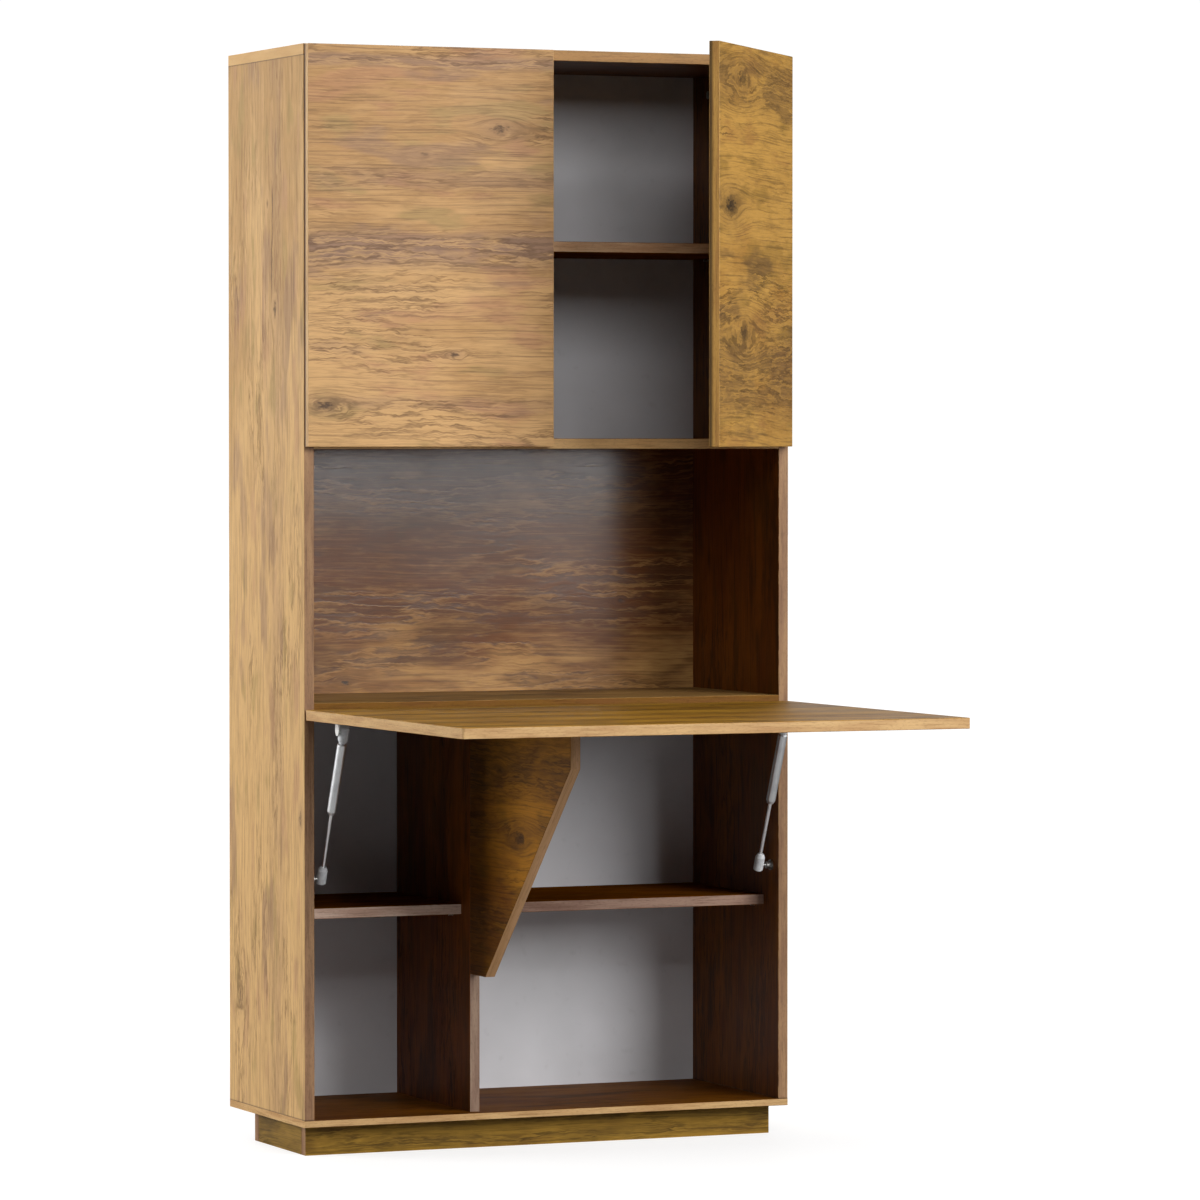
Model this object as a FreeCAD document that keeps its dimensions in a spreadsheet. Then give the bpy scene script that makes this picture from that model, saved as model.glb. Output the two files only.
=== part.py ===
import FreeCAD, Part
import os
import re
import Sketcher

# A tall cupboard desk. A two-door cupboard stands over an open niche, and the lower half has a
# full-width flap that hangs from the desk shelf on cup hinges, with a gas strut at each end and a
# swinging bracket board under it. +X is to the right, +Y to the wall, +Z up. The origin is on the
# floor, in the middle of the plinth. The sheet holds the driving sizes, in millimetres and degrees.

SIZES = {
    # Carcass: levels are heights above the underside of the base board.
    "overall_width": 900,
    "carcass_depth": 370,
    "carcass_height": 1828,
    "board": 18,
    "base_board": 12,
    "edge_easing": 0.6,
    "cabinet_floor_level": 1146,
    "upper_shelf_level": 1484,
    "desk_shelf_level": 699.5,
    "lower_shelf_level": 348,
    "left_bay": 292,
    "divider_setback": 22,
    "upper_shelf_setback": 20,
    "lower_shelf_setback": 59,
    "shelf_play": 1,
    # Backs: thin sheets in grooves.
    "back_board": 3,
    "back_lip": 4,
    "groove_depth": 7,
    "base_groove_depth": 5,
    "groove_play": 0.1,
    "back_edge_play": 0.5,
    # Plinth.
    "plinth_height": 52,
    "plinth_front_setback": 42,
    "plinth_back_setback": 80,
    "plinth_side_setback": 17,
    "plinth_corner_gap": 1.2,
    "corner_block": 40,
    # Fittings that hold the boards together.
    "fitting_front": 60,
    "fitting_back": 300,
    "cam_inset": 34,
    "cam_radius": 7.5,
    "cam_depth": 13,
    "cam_height": 12.5,
    "cam_slot": 6,
    "cam_slot_depth": 7.5,
    "cam_driver_width": 1.4,
    "cam_driver_depth": 2,
    "bolt_radius": 2.5,
    "bolt_channel_radius": 3,
    "bolt_anchor": 11,
    "pin_radius": 2.5,
    "pin_anchor": 8,
    "pin_reach": 8,
    "pin_from_edge": 40,
    "screw_radius": 2.5,
    "screw_length": 45,
    "screw_head_radius": 4.5,
    "fitting_play": 0.05,
    # Doors and the cup hinges that the doors and the flap share.
    "door_level": 1150,
    "door_reveal": 1,
    "door_meeting_gap": 3,
    "right_door_opening": 49,
    "door_hinge_inset": 100,
    "hinge_gap": 2,
    "hinge_pin_reach": 13,
    "hinge_edge_reach": 6.2,
    "hinge_pin_radius": 1.2,
    "hinge_pin_play": 0.05,
    "hinge_pin_half": 7.7,
    "cup_radius": 17.5,
    "cup_edge_wall": 3.2,
    "cup_bore_depth": 14.5,
    "cup_height": 14.1,
    "cup_wall": 0.8,
    "cup_slot": 13,
    "cup_flange": 1,
    "cup_flange_width": 54,
    "cup_flange_depth": 16,
    "cup_flange_start": 5,
    "arm_width": 9,
    "arm_neck_back": 0.5,
    "arm_neck_front": 2.2,
    "arm_drop": 12.2,
    "arm_thickness": 3,
    "arm_length": 62,
    "knuckle_radius": 2,
    "arm_plate_start": 24,
    "arm_plate_length": 34,
    "flap_plate_width": 22,
    "door_plate_width": 46,
    # Flap and its hinges: hinge places are measured from the left edge of the carcass.
    "flap_width": 898,
    "flap_length": 700,
    "flap_level": 707,
    "flap_corner": 5,
    "flap_hinge_left": 110,
    "flap_hinge_middle": 268,
    "flap_hinge_right": 805,
    # Gas struts.
    "strut_inset": 42,
    "strut_wall_depth": 30,
    "strut_wall_level": 419,
    "strut_flap_reach": 65,
    "strut_flap_drop": 27,
    "strut_length": 276,
    "ball_radius": 5,
    "flap_ball_radius": 4.8,
    "ball_play": 0.2,
    "ball_neck_radius": 2.5,
    "ball_mouth_radius": 4,
    "socket_radius": 8.5,
    "socket_tail": 9,
    "socket_shoulder": 16,
    "socket_length": 22,
    "socket_neck_radius": 5.5,
    "socket_bevel": 1.5,
    "rod_radius": 3,
    "rod_start": 12,
    "piston_start": 143,
    "piston_radius": 6.2,
    "piston_length": 6,
    "tube_radius": 8,
    "tube_bore_radius": 6.4,
    "tube_start": 121,
    "tube_guide": 8,
    "tube_taper": 6,
    "tube_head": 6,
    "tube_shoulder": 2,
    "guide_play": 0.05,
    "stud_flange_radius": 9,
    "stud_flange": 3,
    "stud_boss_radius": 6,
    "stud_boss": 7,
    "stud_shank": 10,
    "flap_tab_offset": 13,
    "flap_tab_width": 16,
    "flap_tab_drop": 7,
    "flap_plate": 2,
    "flap_foot_width": 25,
    "flap_foot_length": 50,
    # Swinging bracket board and its butt hinges.
    "bracket_reach": 438,
    "bracket_height": 438,
    "bracket_tip": 66,
    "bracket_foot": 68,
    "bracket_rear_gap": 0.5,
    "bracket_flap_gap": 0.5,
    "bracket_pad": 2,
    "bracket_pad_length": 60,
    "bracket_pad_inset": 12,
    "bracket_hinge_low": 60,
    "bracket_hinge_high": 378,
    "leaf": 1.5,
    "leaf_length": 50,
    "leaf_width": 24,
    "leaf_clear": 3.4,
    "butt_pin_radius": 1.5,
    "butt_pin_play": 0.05,
    "butt_knuckle_radius": 3,
    "butt_knuckle_offset": 3.4,
    "butt_middle": 17,
    "butt_gap": 0.3,
    "butt_pin_cap": 1,
    # Push latches in the front edge of the top board.
    "latch_inset": 130,
    "latch_radius": 5,
    "latch_length": 42,
    "latch_bore_radius": 3.1,
    "latch_wall": 2,
    "plunger_radius": 3,
    "plunger_length": 32,
    "plunger_nose": 1.6,
    # Angle brackets that tie the cupboard to the wall.
    "tie_left": 90,
    "tie_spacing": 400,
    "tie_width": 30,
    "tie_leg": 32,
    "tie_plate": 2,
    "tie_hole_radius": 2.75,
    "tie_hole_drop": 20,
    "tie_screw_reach": 21,
    "tie_screw_head": 1.6,
}

LEFT = "(-overall_width / 2)"
INNER = "(overall_width / 2 - board)"
CLEAR_WIDTH = "(overall_width - 2 * board)"
FRONT = "(-(carcass_depth - plinth_back_setback + plinth_front_setback) / 2)"
BASE_TOP = "(plinth_height + base_board)"
SIDE_LENGTH = "(carcass_height - base_board - board)"
TOP_UNDERSIDE = "(plinth_height + carcass_height - board)"
SHELF_DEPTH = "(carcass_depth - back_lip - back_board)"
BACK_FACE = f"({FRONT} + {SHELF_DEPTH})"
GROOVE = "(back_board + 2 * groove_play)"
DIVIDER_LEFT = f"({LEFT} + board + left_bay)"
DIVIDER_LENGTH = "(desk_shelf_level - base_board)"
DOOR_WIDTH = "((overall_width - 2 * door_reveal - door_meeting_gap) / 2)"
DOOR_HEIGHT = "(carcass_height - door_reveal - door_level)"
PIN_Y = f"({FRONT} - hinge_pin_reach)"
PIN_BELOW_FACE = "(board + hinge_gap - hinge_pin_reach)"
PIN_ABOVE_BACK = "(hinge_pin_reach - hinge_gap)"
DOOR_PIN_X = "(overall_width / 2 - door_reveal - hinge_edge_reach)"
FLAP_PIN_Z = f"(plinth_height + flap_level - {PIN_BELOW_FACE})"
CUP_CENTRE = "(hinge_edge_reach - cup_edge_wall - cup_radius)"
STRUT_X = "(overall_width / 2 - strut_inset)"
STRUT_RUN = "(strut_wall_depth + hinge_pin_reach + strut_flap_reach)"
STRUT_RISE = f"(flap_level - {PIN_BELOW_FACE} - strut_flap_drop - strut_wall_level)"
STRUT_LEAN = f"atan({STRUT_RUN} / {STRUT_RISE})"
BRACKET_TOP = "(plinth_height + flap_level - board - bracket_flap_gap - bracket_pad)"
BRACKET_REAR = f"({FRONT} + divider_setback - bracket_rear_gap)"
BUTT_PIN_X = f"({DIVIDER_LEFT} + board + butt_knuckle_offset)"
BUTT_PIN_Y = f"({FRONT} + divider_setback - bracket_rear_gap / 2)"

doc = FreeCAD.newDocument("CupboardDesk")
sheet = doc.addObject("Spreadsheet::Sheet", "Dims")
for row, (alias, size) in enumerate(SIZES.items(), start=1):
    sheet.set(f"A{row}", alias)
    sheet.set(f"B{row}", str(size))
    sheet.setAlias(f"B{row}", alias)
doc.recompute()

Vector = FreeCAD.Vector
RIGHT_WAY = Vector(1, 0, 0)
UP = Vector(0, 0, 1)
TOUCH = 1e-4
parts = []


def formula(text):
    """Writes the sheet's name in front of each size in the text."""
    def name(match):
        return "Dims." + match[0] if match[0] in SIZES else match[0]
    return re.sub(r"[a-z][a-z_]*", name, text)


def value(text):
    """The number that a formula of sizes gives now."""
    result = sheet.evalExpression(formula(text))
    return float(getattr(result, "Value", result))


def bind(thing, prop, text):
    thing.setExpression(prop, formula(text))


def new_body(label, place=("0", "0", "0"), axis=UP, turn="0", kept=True):
    """A body whose place, and turn about an axis, follow the sheet."""
    body = doc.addObject("PartDesign::Body", label)
    body.Placement = FreeCAD.Placement(Vector(), FreeCAD.Rotation(axis, 1))
    bind(body, "Placement.Rotation.Angle", turn)
    for letter, text in zip("xyz", place):
        bind(body, f"Placement.Base.{letter}", text)
    if kept:
        parts.append(body)
    return body


def new_sketch(body, name, role, shift=("0", "0", "0")):
    """A sketch on one of the body's own origin planes, shifted in that plane and off it."""
    sketch = body.newObject("Sketcher::SketchObject", name)
    plane = next(item for item in body.Origin.OriginFeatures if item.Role == role)
    sketch.AttachmentSupport = [(plane, "")]
    sketch.MapMode = "FlatFace"
    for letter, text in zip("xyz", shift):
        bind(sketch, f"AttachmentOffset.Base.{letter}", text)
    return sketch


def pin_point(sketch, geometry, end, point):
    """Ties a point of the sketch to the two formulas of its place."""
    for kind, axis, text in (("DistanceX", -2, point[0]), ("DistanceY", -1, point[1])):
        size = value(text)
        if abs(size) < TOUCH:
            sketch.addConstraint(Sketcher.Constraint("PointOnObject", geometry, end, axis))
            continue
        index = sketch.addConstraint(Sketcher.Constraint(kind, -1, 1, geometry, end, size))
        bind(sketch, f"Constraints[{index}]", text)


def outline(sketch, corners):
    """A closed outline of straight lines through the corners."""
    start = sketch.GeometryCount
    places = [Vector(value(x), value(y), 0) for x, y in corners]
    count = len(corners)
    for index in range(count):
        line = Part.LineSegment(places[index], places[(index + 1) % count])
        sketch.addGeometry(line, False)
    for index in range(count):
        following = start + (index + 1) % count
        sketch.addConstraint(Sketcher.Constraint("Coincident", start + index, 2, following, 1))
    for index, corner in enumerate(corners):
        pin_point(sketch, start + index, 1, corner)


def rectangle(sketch, low, high):
    outline(sketch, [low, (high[0], low[1]), high, (low[0], high[1])])


def circle(sketch, centre, radius):
    middle = Vector(value(centre[0]), value(centre[1]), 0)
    index = sketch.addGeometry(Part.Circle(middle, Vector(0, 0, 1), value(radius)), False)
    pin_point(sketch, index, 3, centre)
    size = sketch.addConstraint(Sketcher.Constraint("Radius", index, value(radius)))
    bind(sketch, f"Constraints[{size}]", radius)


def pad(body, name, sketch, length, against=False):
    """Adds the profile along the sketch's normal, or against it."""
    feature = body.newObject("PartDesign::Pad", name)
    feature.Profile = sketch
    feature.Reversed = against
    bind(feature, "Length", length)
    return feature


def pocket(body, name, sketch, depth, along=False):
    """Cuts the profile against the sketch's normal, or along it."""
    feature = body.newObject("PartDesign::Pocket", name)
    feature.Profile = sketch
    feature.Reversed = along
    bind(feature, "Length", depth)
    return feature


def turned(body, name, sketch, kind="PartDesign::Revolution"):
    """Turns the profile once about the sketch's first axis."""
    feature = body.newObject(kind, name)
    feature.Profile = sketch
    feature.ReferenceAxis = (sketch, ["H_Axis"])
    feature.Angle = 360
    return feature


def bores(body, name, role, lift, centres, radius, depth, along=False):
    """Round holes of one size, cut from a plane that stands off an origin plane."""
    sketch = new_sketch(body, name + "_plan", role, ("0", "0", lift))
    for centre in centres:
        circle(sketch, centre, radius)
    return pocket(body, name, sketch, depth, along)


def ease(body, name, chosen, size="edge_easing"):
    """A small chamfer on the edges that the test picks."""
    doc.recompute()
    tip = body.Tip
    names = [f"Edge{index}" for index, edge in enumerate(tip.Shape.Edges, start=1) if chosen(edge)]
    feature = body.newObject("PartDesign::Chamfer", name)
    feature.Base = (tip, names)
    bind(feature, "Size", size)
    return feature


def box_board(label, place, size):
    """A plain board: width, depth and height from its lowest corner."""
    body = new_body(label, place)
    plan = new_sketch(body, label + "_plan", "XY_Plane")
    rectangle(plan, ("0", "0"), (size[0], size[1]))
    pad(body, label + "_board", plan, size[2])
    return body


def front_edge(edge):
    """True for a straight edge in the board's own front plane that runs along it."""
    box = edge.BoundBox
    return box.YMax < TOUCH and edge.Length > 2 * SIZES["board"]


def outer_edge(edge):
    """True for a straight edge as long as the board is thick, or longer."""
    return edge.Curve.TypeId == "Part::GeomLine" and edge.Length > SIZES["board"] - TOUCH


def group(label, placed):
    """One sub-part made of copies of a master, each at its own placement."""
    links = []
    for index, (master, placement) in enumerate(placed, start=1):
        link = doc.addObject("App::Link", f"{label}_{index}")
        link.LinkedObject = master
        link.LinkTransform = False
        link.Placement = placement
        links.append(link)
    compound = doc.addObject("Part::Compound", label)
    compound.Links = links
    parts.append(compound)
    return compound


def at(x, y, z, rotation=None):
    """A placement from three formulas or numbers."""
    numbers = [value(item) if isinstance(item, str) else item for item in (x, y, z)]
    return FreeCAD.Placement(Vector(*numbers), rotation or FreeCAD.Rotation())


# ---- Carcass boards -----------------------------------------------------------------------------

FITTING_ROWS = ("fitting_front", "fitting_back")
HINGE_HEIGHTS = ("door_hinge_inset", f"({DOOR_HEIGHT} - door_hinge_inset)")


def base_panel():
    """The base carries both sides and the divider, which are screwed to it from below."""
    body = box_board("base_panel", (LEFT, FRONT, "plinth_height"),
                     ("overall_width", "carcass_depth", "base_board"))
    groove = new_sketch(body, "base_groove_plan", "XY_Plane", ("0", "0", "base_board"))
    rectangle(groove, ("board - groove_depth", f"{SHELF_DEPTH} - groove_play"),
              ("overall_width - board + groove_depth", f"{SHELF_DEPTH} - groove_play + {GROOVE}"))
    pocket(body, "base_groove", groove, "base_groove_depth")
    bores(body, "screw_holes", "XY_Plane", "0", base_screw_centres(), "screw_radius", "base_board",
          along=True)
    ease(body, "base_eased", front_edge)


def base_screw_centres():
    """Plan of the base screws, from the base's front left corner."""
    columns = ("board / 2", "board + left_bay + board / 2", "overall_width - board / 2")
    return [(x, y) for x in columns for y in FITTING_ROWS]


def side_panel(label, side):
    """A side stands on the base, with its groove, pin holes and fittings on the inner face."""
    left = side < 0
    body = box_board(label, (LEFT if left else INNER, FRONT, BASE_TOP),
                     ("board", "carcass_depth", SIDE_LENGTH))
    inner_face = "board" if left else "0"
    groove = new_sketch(body, label + "_groove_plan", "YZ_Plane", ("0", "0", inner_face))
    rectangle(groove, (f"{SHELF_DEPTH} - groove_play", "0"),
              (f"{SHELF_DEPTH} - groove_play + {GROOVE}", SIDE_LENGTH))
    pocket(body, label + "_groove", groove, "groove_depth", along=not left)
    bolts = [(y, f"{level} + board / 2 - base_board")
             for level in ("desk_shelf_level", "cabinet_floor_level") for y in FITTING_ROWS]
    bores(body, label + "_bolt_holes", "YZ_Plane", inner_face, bolts, "bolt_radius",
          "bolt_anchor", along=not left)
    pins = [(y, f"{level} - base_board - pin_radius")
            for level, rows in SHELF_PIN_ROWS.items() for y in rows]
    bores(body, label + "_pin_holes", "YZ_Plane", inner_face, pins, "pin_radius", "pin_anchor",
          along=not left)
    cams = [(y, f"{SIDE_LENGTH} - cam_inset") for y in FITTING_ROWS]
    bores(body, label + "_cam_holes", "YZ_Plane", inner_face, cams, "cam_radius", "cam_depth",
          along=not left)
    ends = [("board / 2", y) for y in FITTING_ROWS]
    bores(body, label + "_top_channels", "XY_Plane", SIDE_LENGTH, ends, "bolt_channel_radius",
          "cam_inset")
    bores(body, label + "_foot_holes", "XY_Plane", "0", ends, "screw_radius",
          "screw_length - base_board", along=True)
    stud = [("strut_wall_depth", "strut_wall_level - base_board")]
    bores(body, label + "_stud_hole", "YZ_Plane", inner_face, stud, "ball_neck_radius",
          "stud_shank", along=not left)
    ease(body, label + "_eased", front_edge)


SHELF_PIN_ROWS = {
    "lower_shelf_level": ("(lower_shelf_setback + pin_from_edge)", "fitting_back"),
    "upper_shelf_level": ("(upper_shelf_setback + pin_from_edge)", "fitting_back"),
}


def top_panel():
    """The top lies over both sides, with a latch in its front edge behind each door."""
    body = box_board("top_panel", (LEFT, FRONT, TOP_UNDERSIDE),
                     ("overall_width", "carcass_depth", "board"))
    groove = new_sketch(body, "top_groove_plan", "XY_Plane")
    rectangle(groove, ("board - groove_depth", f"{SHELF_DEPTH} - groove_play"),
              ("overall_width - board + groove_depth", f"{SHELF_DEPTH} - groove_play + {GROOVE}"))
    pocket(body, "top_groove", groove, "groove_depth", along=True)
    bolts = [(x, y) for x in ("board / 2", "overall_width - board / 2") for y in FITTING_ROWS]
    bores(body, "top_bolt_holes", "XY_Plane", "0", bolts, "bolt_radius", "bolt_anchor", along=True)
    latches = [(x, "board / 2") for x in ("latch_inset", "overall_width - latch_inset")]
    bores(body, "latch_bores", "XZ_Plane", "0", latches, "latch_radius", "latch_length")
    ease(body, "top_eased", front_edge)


def fixed_shelf(label, level):
    """A board between the sides, drawn tight by a cam at each end of its underside."""
    body = box_board(label, (f"{LEFT} + board", FRONT, f"plinth_height + {level}"),
                     (CLEAR_WIDTH, SHELF_DEPTH, "board"))
    cams = [(x, y) for x in ("cam_inset", f"{CLEAR_WIDTH} - cam_inset") for y in FITTING_ROWS]
    bores(body, label + "_cam_holes", "XY_Plane", "0", cams, "cam_radius", "cam_depth", along=True)
    ends = [(y, "board / 2") for y in FITTING_ROWS]
    bores(body, label + "_left_channels", "YZ_Plane", "0", ends, "bolt_channel_radius",
          "cam_inset", along=True)
    bores(body, label + "_right_channels", "YZ_Plane", CLEAR_WIDTH, ends, "bolt_channel_radius",
          "cam_inset")
    if label == "desk_shelf":
        over_divider = [("left_bay + board / 2", y) for y in DIVIDER_CAM_ROWS]
        bores(body, label + "_divider_bolts", "XY_Plane", "0", over_divider, "bolt_radius",
              "bolt_anchor", along=True)
    ease(body, label + "_eased", front_edge)


DIVIDER_CAM_ROWS = ("fitting_front + divider_setback", "fitting_back")


def lower_divider():
    """The upright between the two lower bays stands back to leave room for the bracket board."""
    body = box_board("lower_divider", (DIVIDER_LEFT, f"{FRONT} + divider_setback", BASE_TOP),
                     ("board", f"{SHELF_DEPTH} - divider_setback", DIVIDER_LENGTH))
    pins = [(f"{y} - divider_setback", "lower_shelf_level - base_board - pin_radius")
            for y in SHELF_PIN_ROWS["lower_shelf_level"]]
    bores(body, "divider_left_pins", "YZ_Plane", "0", pins, "pin_radius", "pin_anchor", along=True)
    bores(body, "divider_right_pins", "YZ_Plane", "board", pins, "pin_radius", "pin_anchor")
    cams = [(f"{y} - divider_setback", f"{DIVIDER_LENGTH} - cam_inset") for y in DIVIDER_CAM_ROWS]
    bores(body, "divider_cams", "YZ_Plane", "0", cams, "cam_radius", "cam_depth", along=True)
    top = [("board / 2", f"{y} - divider_setback") for y in DIVIDER_CAM_ROWS]
    bores(body, "divider_channels", "XY_Plane", DIVIDER_LENGTH, top, "bolt_channel_radius",
          "cam_inset")
    foot = [("board / 2", f"{y} - divider_setback") for y in FITTING_ROWS]
    bores(body, "divider_foot_holes", "XY_Plane", "0", foot, "screw_radius",
          "screw_length - base_board", along=True)
    ease(body, "divider_eased", front_edge)


def loose_shelf(label, left, width, level, setback):
    """A shelf on four pins, a little narrower than its bay."""
    body = box_board(label, (f"{left} + shelf_play", f"{FRONT} + {setback}",
                             f"plinth_height + {level}"),
                     (f"{width} - 2 * shelf_play", f"{SHELF_DEPTH} - {setback} - shelf_play",
                      "board"))
    ease(body, label + "_eased", front_edge)


def back_panel(label, low, high):
    """A thin back in the side grooves, with its edges behind the boards above and below."""
    box_board(label, (f"{LEFT} + board - groove_depth + back_edge_play", BACK_FACE, low),
              (f"{CLEAR_WIDTH} + 2 * (groove_depth - back_edge_play)", "back_board",
               f"{high} - {low}"))


side_panel("left_side_panel", -1)
side_panel("right_side_panel", 1)
base_panel()
top_panel()
fixed_shelf("cabinet_floor", "cabinet_floor_level")
fixed_shelf("desk_shelf", "desk_shelf_level")
lower_divider()
loose_shelf("upper_shelf", f"({LEFT} + board)", CLEAR_WIDTH, "upper_shelf_level",
            "upper_shelf_setback")
loose_shelf("lower_left_shelf", f"({LEFT} + board)", "left_bay", "lower_shelf_level",
            "lower_shelf_setback")
loose_shelf("lower_right_shelf", f"({DIVIDER_LEFT} + board)", f"({CLEAR_WIDTH} - left_bay - board)",
            "lower_shelf_level", "lower_shelf_setback")

DESK_SEAM = "(plinth_height + desk_shelf_level + board / 2)"
FLOOR_SEAM = "(plinth_height + cabinet_floor_level + board / 2)"
back_panel("lower_back_panel", f"({BASE_TOP} - base_groove_depth + back_edge_play)", DESK_SEAM)
back_panel("niche_back_panel", DESK_SEAM, FLOOR_SEAM)
back_panel("upper_back_panel", FLOOR_SEAM, f"({TOP_UNDERSIDE} + groove_depth - back_edge_play)")
bores(parts[-1], "tie_clearance", "XZ_Plane", "0",
      [(f"{x} - board + groove_depth - back_edge_play",
        f"{TOP_UNDERSIDE} - tie_hole_drop - {FLOOR_SEAM}")
       for x in ("tie_left", "tie_left + tie_spacing")],
      "tie_hole_radius", "back_board")


# ---- Plinth -------------------------------------------------------------------------------------

PLINTH_LEFT = f"({LEFT} + plinth_side_setback)"
PLINTH_WIDTH = "(overall_width - 2 * plinth_side_setback)"
PLINTH_DEPTH = "(carcass_depth - plinth_front_setback - plinth_back_setback)"
PLINTH_FRONT = f"({FRONT} + plinth_front_setback)"
RAIL_DEPTH = f"({PLINTH_DEPTH} - 2 * board)"


def plinth():
    """Five rails on edge under the base: front and back run past the side rails."""
    long_rail = (PLINTH_WIDTH, "board", "plinth_height")
    side_rail = ("board", f"{RAIL_DEPTH} - 2 * plinth_corner_gap", "plinth_height")
    rail_y = f"{PLINTH_FRONT} + board"
    box_board("plinth_front_rail", (PLINTH_LEFT, PLINTH_FRONT, "0"), long_rail)
    box_board("plinth_back_rail", (PLINTH_LEFT, f"{rail_y} + {RAIL_DEPTH}", "0"), long_rail)
    box_board("plinth_left_rail", (PLINTH_LEFT, f"{rail_y} + plinth_corner_gap", "0"), side_rail)
    box_board("plinth_right_rail", (f"-{PLINTH_LEFT} - board", f"{rail_y} + plinth_corner_gap", "0"),
              side_rail)
    box_board("plinth_cross_rail", ("-board / 2", rail_y, "0"),
              ("board", RAIL_DEPTH, "plinth_height"))


def plinth_corner_blocks():
    """Glued triangular blocks hold the rails square to each other and to the base."""
    block = new_body("corner_block_master", kept=False)
    plan = new_sketch(block, "block_plan", "XY_Plane")
    outline(plan, [("0", "0"), ("corner_block", "0"), ("0", "corner_block")])
    pad(block, "block", plan, "corner_block")
    inner_x = value(f"-{PLINTH_LEFT} - board")
    near_y = value(f"{PLINTH_FRONT} + board")
    far_y = near_y + value(RAIL_DEPTH)
    low_z = value("plinth_height - corner_block")
    corners = ((-inner_x, near_y, 0), (inner_x, near_y, 90), (inner_x, far_y, 180),
               (-inner_x, far_y, 270))
    group("plinth_corner_blocks",
          [(block, at(x, y, low_z, FreeCAD.Rotation(UP, turn))) for x, y, turn in corners])


plinth()
plinth_corner_blocks()


# ---- Cams, bolts, screws and shelf pins ---------------------------------------------------------

def cam_master():
    """A slotted disc, open towards -X, that turns in a bore and pulls the bolt's head."""
    body = new_body("cam_master", kept=False)
    plan = new_sketch(body, "cam_plan", "XY_Plane")
    circle(plan, ("0", "0"), "cam_radius - fitting_play")
    pad(body, "cam_disc", plan, "cam_height")
    slot = new_sketch(body, "cam_slot_plan", "XY_Plane", ("0", "0", "cam_height"))
    rectangle(slot, ("-cam_radius", "-cam_slot / 2"), ("0", "cam_slot / 2"))
    pocket(body, "cam_slot_cut", slot, "cam_slot_depth")
    driver = new_sketch(body, "cam_driver_plan", "XY_Plane")
    rectangle(driver, ("-cam_slot / 2", "-cam_driver_width / 2"),
              ("cam_slot / 2", "cam_driver_width / 2"))
    pocket(body, "cam_driver", driver, "cam_driver_depth", along=True)
    return body


def bolt_master():
    """A cam bolt along +X from its screwed end."""
    body = new_body("bolt_master", kept=False)
    shank = new_sketch(body, "bolt_plan", "YZ_Plane")
    circle(shank, ("0", "0"), "bolt_radius - fitting_play")
    pad(body, "bolt_shank", shank, "bolt_anchor + cam_inset - cam_slot / 2")
    return body


def screw_master():
    """A headless panel screw along +Z, flush with the underside of the base."""
    body = new_body("screw_master", kept=False)
    shank = new_sketch(body, "screw_shank_plan", "XY_Plane")
    circle(shank, ("0", "0"), "screw_radius - fitting_play")
    pad(body, "screw_shank", shank, "screw_length")
    return body


def shelf_pin_master():
    """A plain steel peg along +X, half in the board and half under the shelf."""
    body = new_body("shelf_pin_master", kept=False)
    plan = new_sketch(body, "pin_plan", "YZ_Plane", ("0", "0", "-pin_anchor"))
    circle(plan, ("0", "0"), "pin_radius - fitting_play")
    pad(body, "pin_peg", plan, "pin_anchor + pin_reach")
    return body


def frame_of(x_axis, z_axis):
    """The rotation that lays the master's X and Z along two directions."""
    return FreeCAD.Rotation(x_axis, z_axis.cross(x_axis), z_axis, "ZXY")


def fittings():
    cam = cam_master()
    bolt = bolt_master()
    cams = []
    bolts = []
    rows = [value(f"{FRONT} + {y}") for y in FITTING_ROWS]
    inner = value(INNER)
    inset = value("cam_inset")
    anchor = value("bolt_anchor")
    for level in ("desk_shelf_level", "cabinet_floor_level"):
        underside = value(f"plinth_height + {level}")
        middle = underside + value("board") / 2
        for side in (-1, 1):
            inward = RIGHT_WAY * -side
            for y in rows:
                cams.append((cam, at(side * (inner - inset), y, underside, frame_of(inward, UP))))
                bolts.append((bolt, at(side * (inner + anchor), y, middle, frame_of(inward, UP))))
    side_middle = inner + value("board") / 2
    top = value(TOP_UNDERSIDE)
    for side in (-1, 1):
        outward = RIGHT_WAY * side
        for y in rows:
            cams.append((cam, at(side * inner, y, top - inset, frame_of(UP * -1, outward))))
            bolts.append((bolt, at(side * side_middle, y, top + anchor,
                                   frame_of(UP * -1, outward))))
    desk = value("plinth_height + desk_shelf_level")
    divider = value(DIVIDER_LEFT)
    for row in DIVIDER_CAM_ROWS:
        y = value(f"{FRONT} + {row}")
        cams.append((cam, at(divider, y, desk - inset, frame_of(UP * -1, RIGHT_WAY))))
        bolts.append((bolt, at(divider + value("board") / 2, y, desk + anchor,
                               frame_of(UP * -1, RIGHT_WAY))))
    group("cam_locks", cams)
    group("cam_bolts", bolts)
    screw = screw_master()
    group("base_screws", [(screw, at(f"{LEFT} + {x}", f"{FRONT} + {y}", "plinth_height"))
                          for x, y in base_screw_centres()])


def shelf_pins():
    pin = shelf_pin_master()
    placed = []
    bays = {
        "lower_shelf_level": ((-value(INNER), value(DIVIDER_LEFT)),
                              (value(f"{DIVIDER_LEFT} + board"), value(INNER))),
        "upper_shelf_level": ((-value(INNER), value(INNER)),),
    }
    for level, rows in SHELF_PIN_ROWS.items():
        z = value(f"plinth_height + {level} - pin_radius")
        for bay in bays[level]:
            for wall, way in zip(bay, (RIGHT_WAY, RIGHT_WAY * -1)):
                for y in rows:
                    placed.append((pin, at(wall, f"{FRONT} + {y}", z, frame_of(way, UP))))
    group("shelf_pins", placed)


fittings()
shelf_pins()


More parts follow.
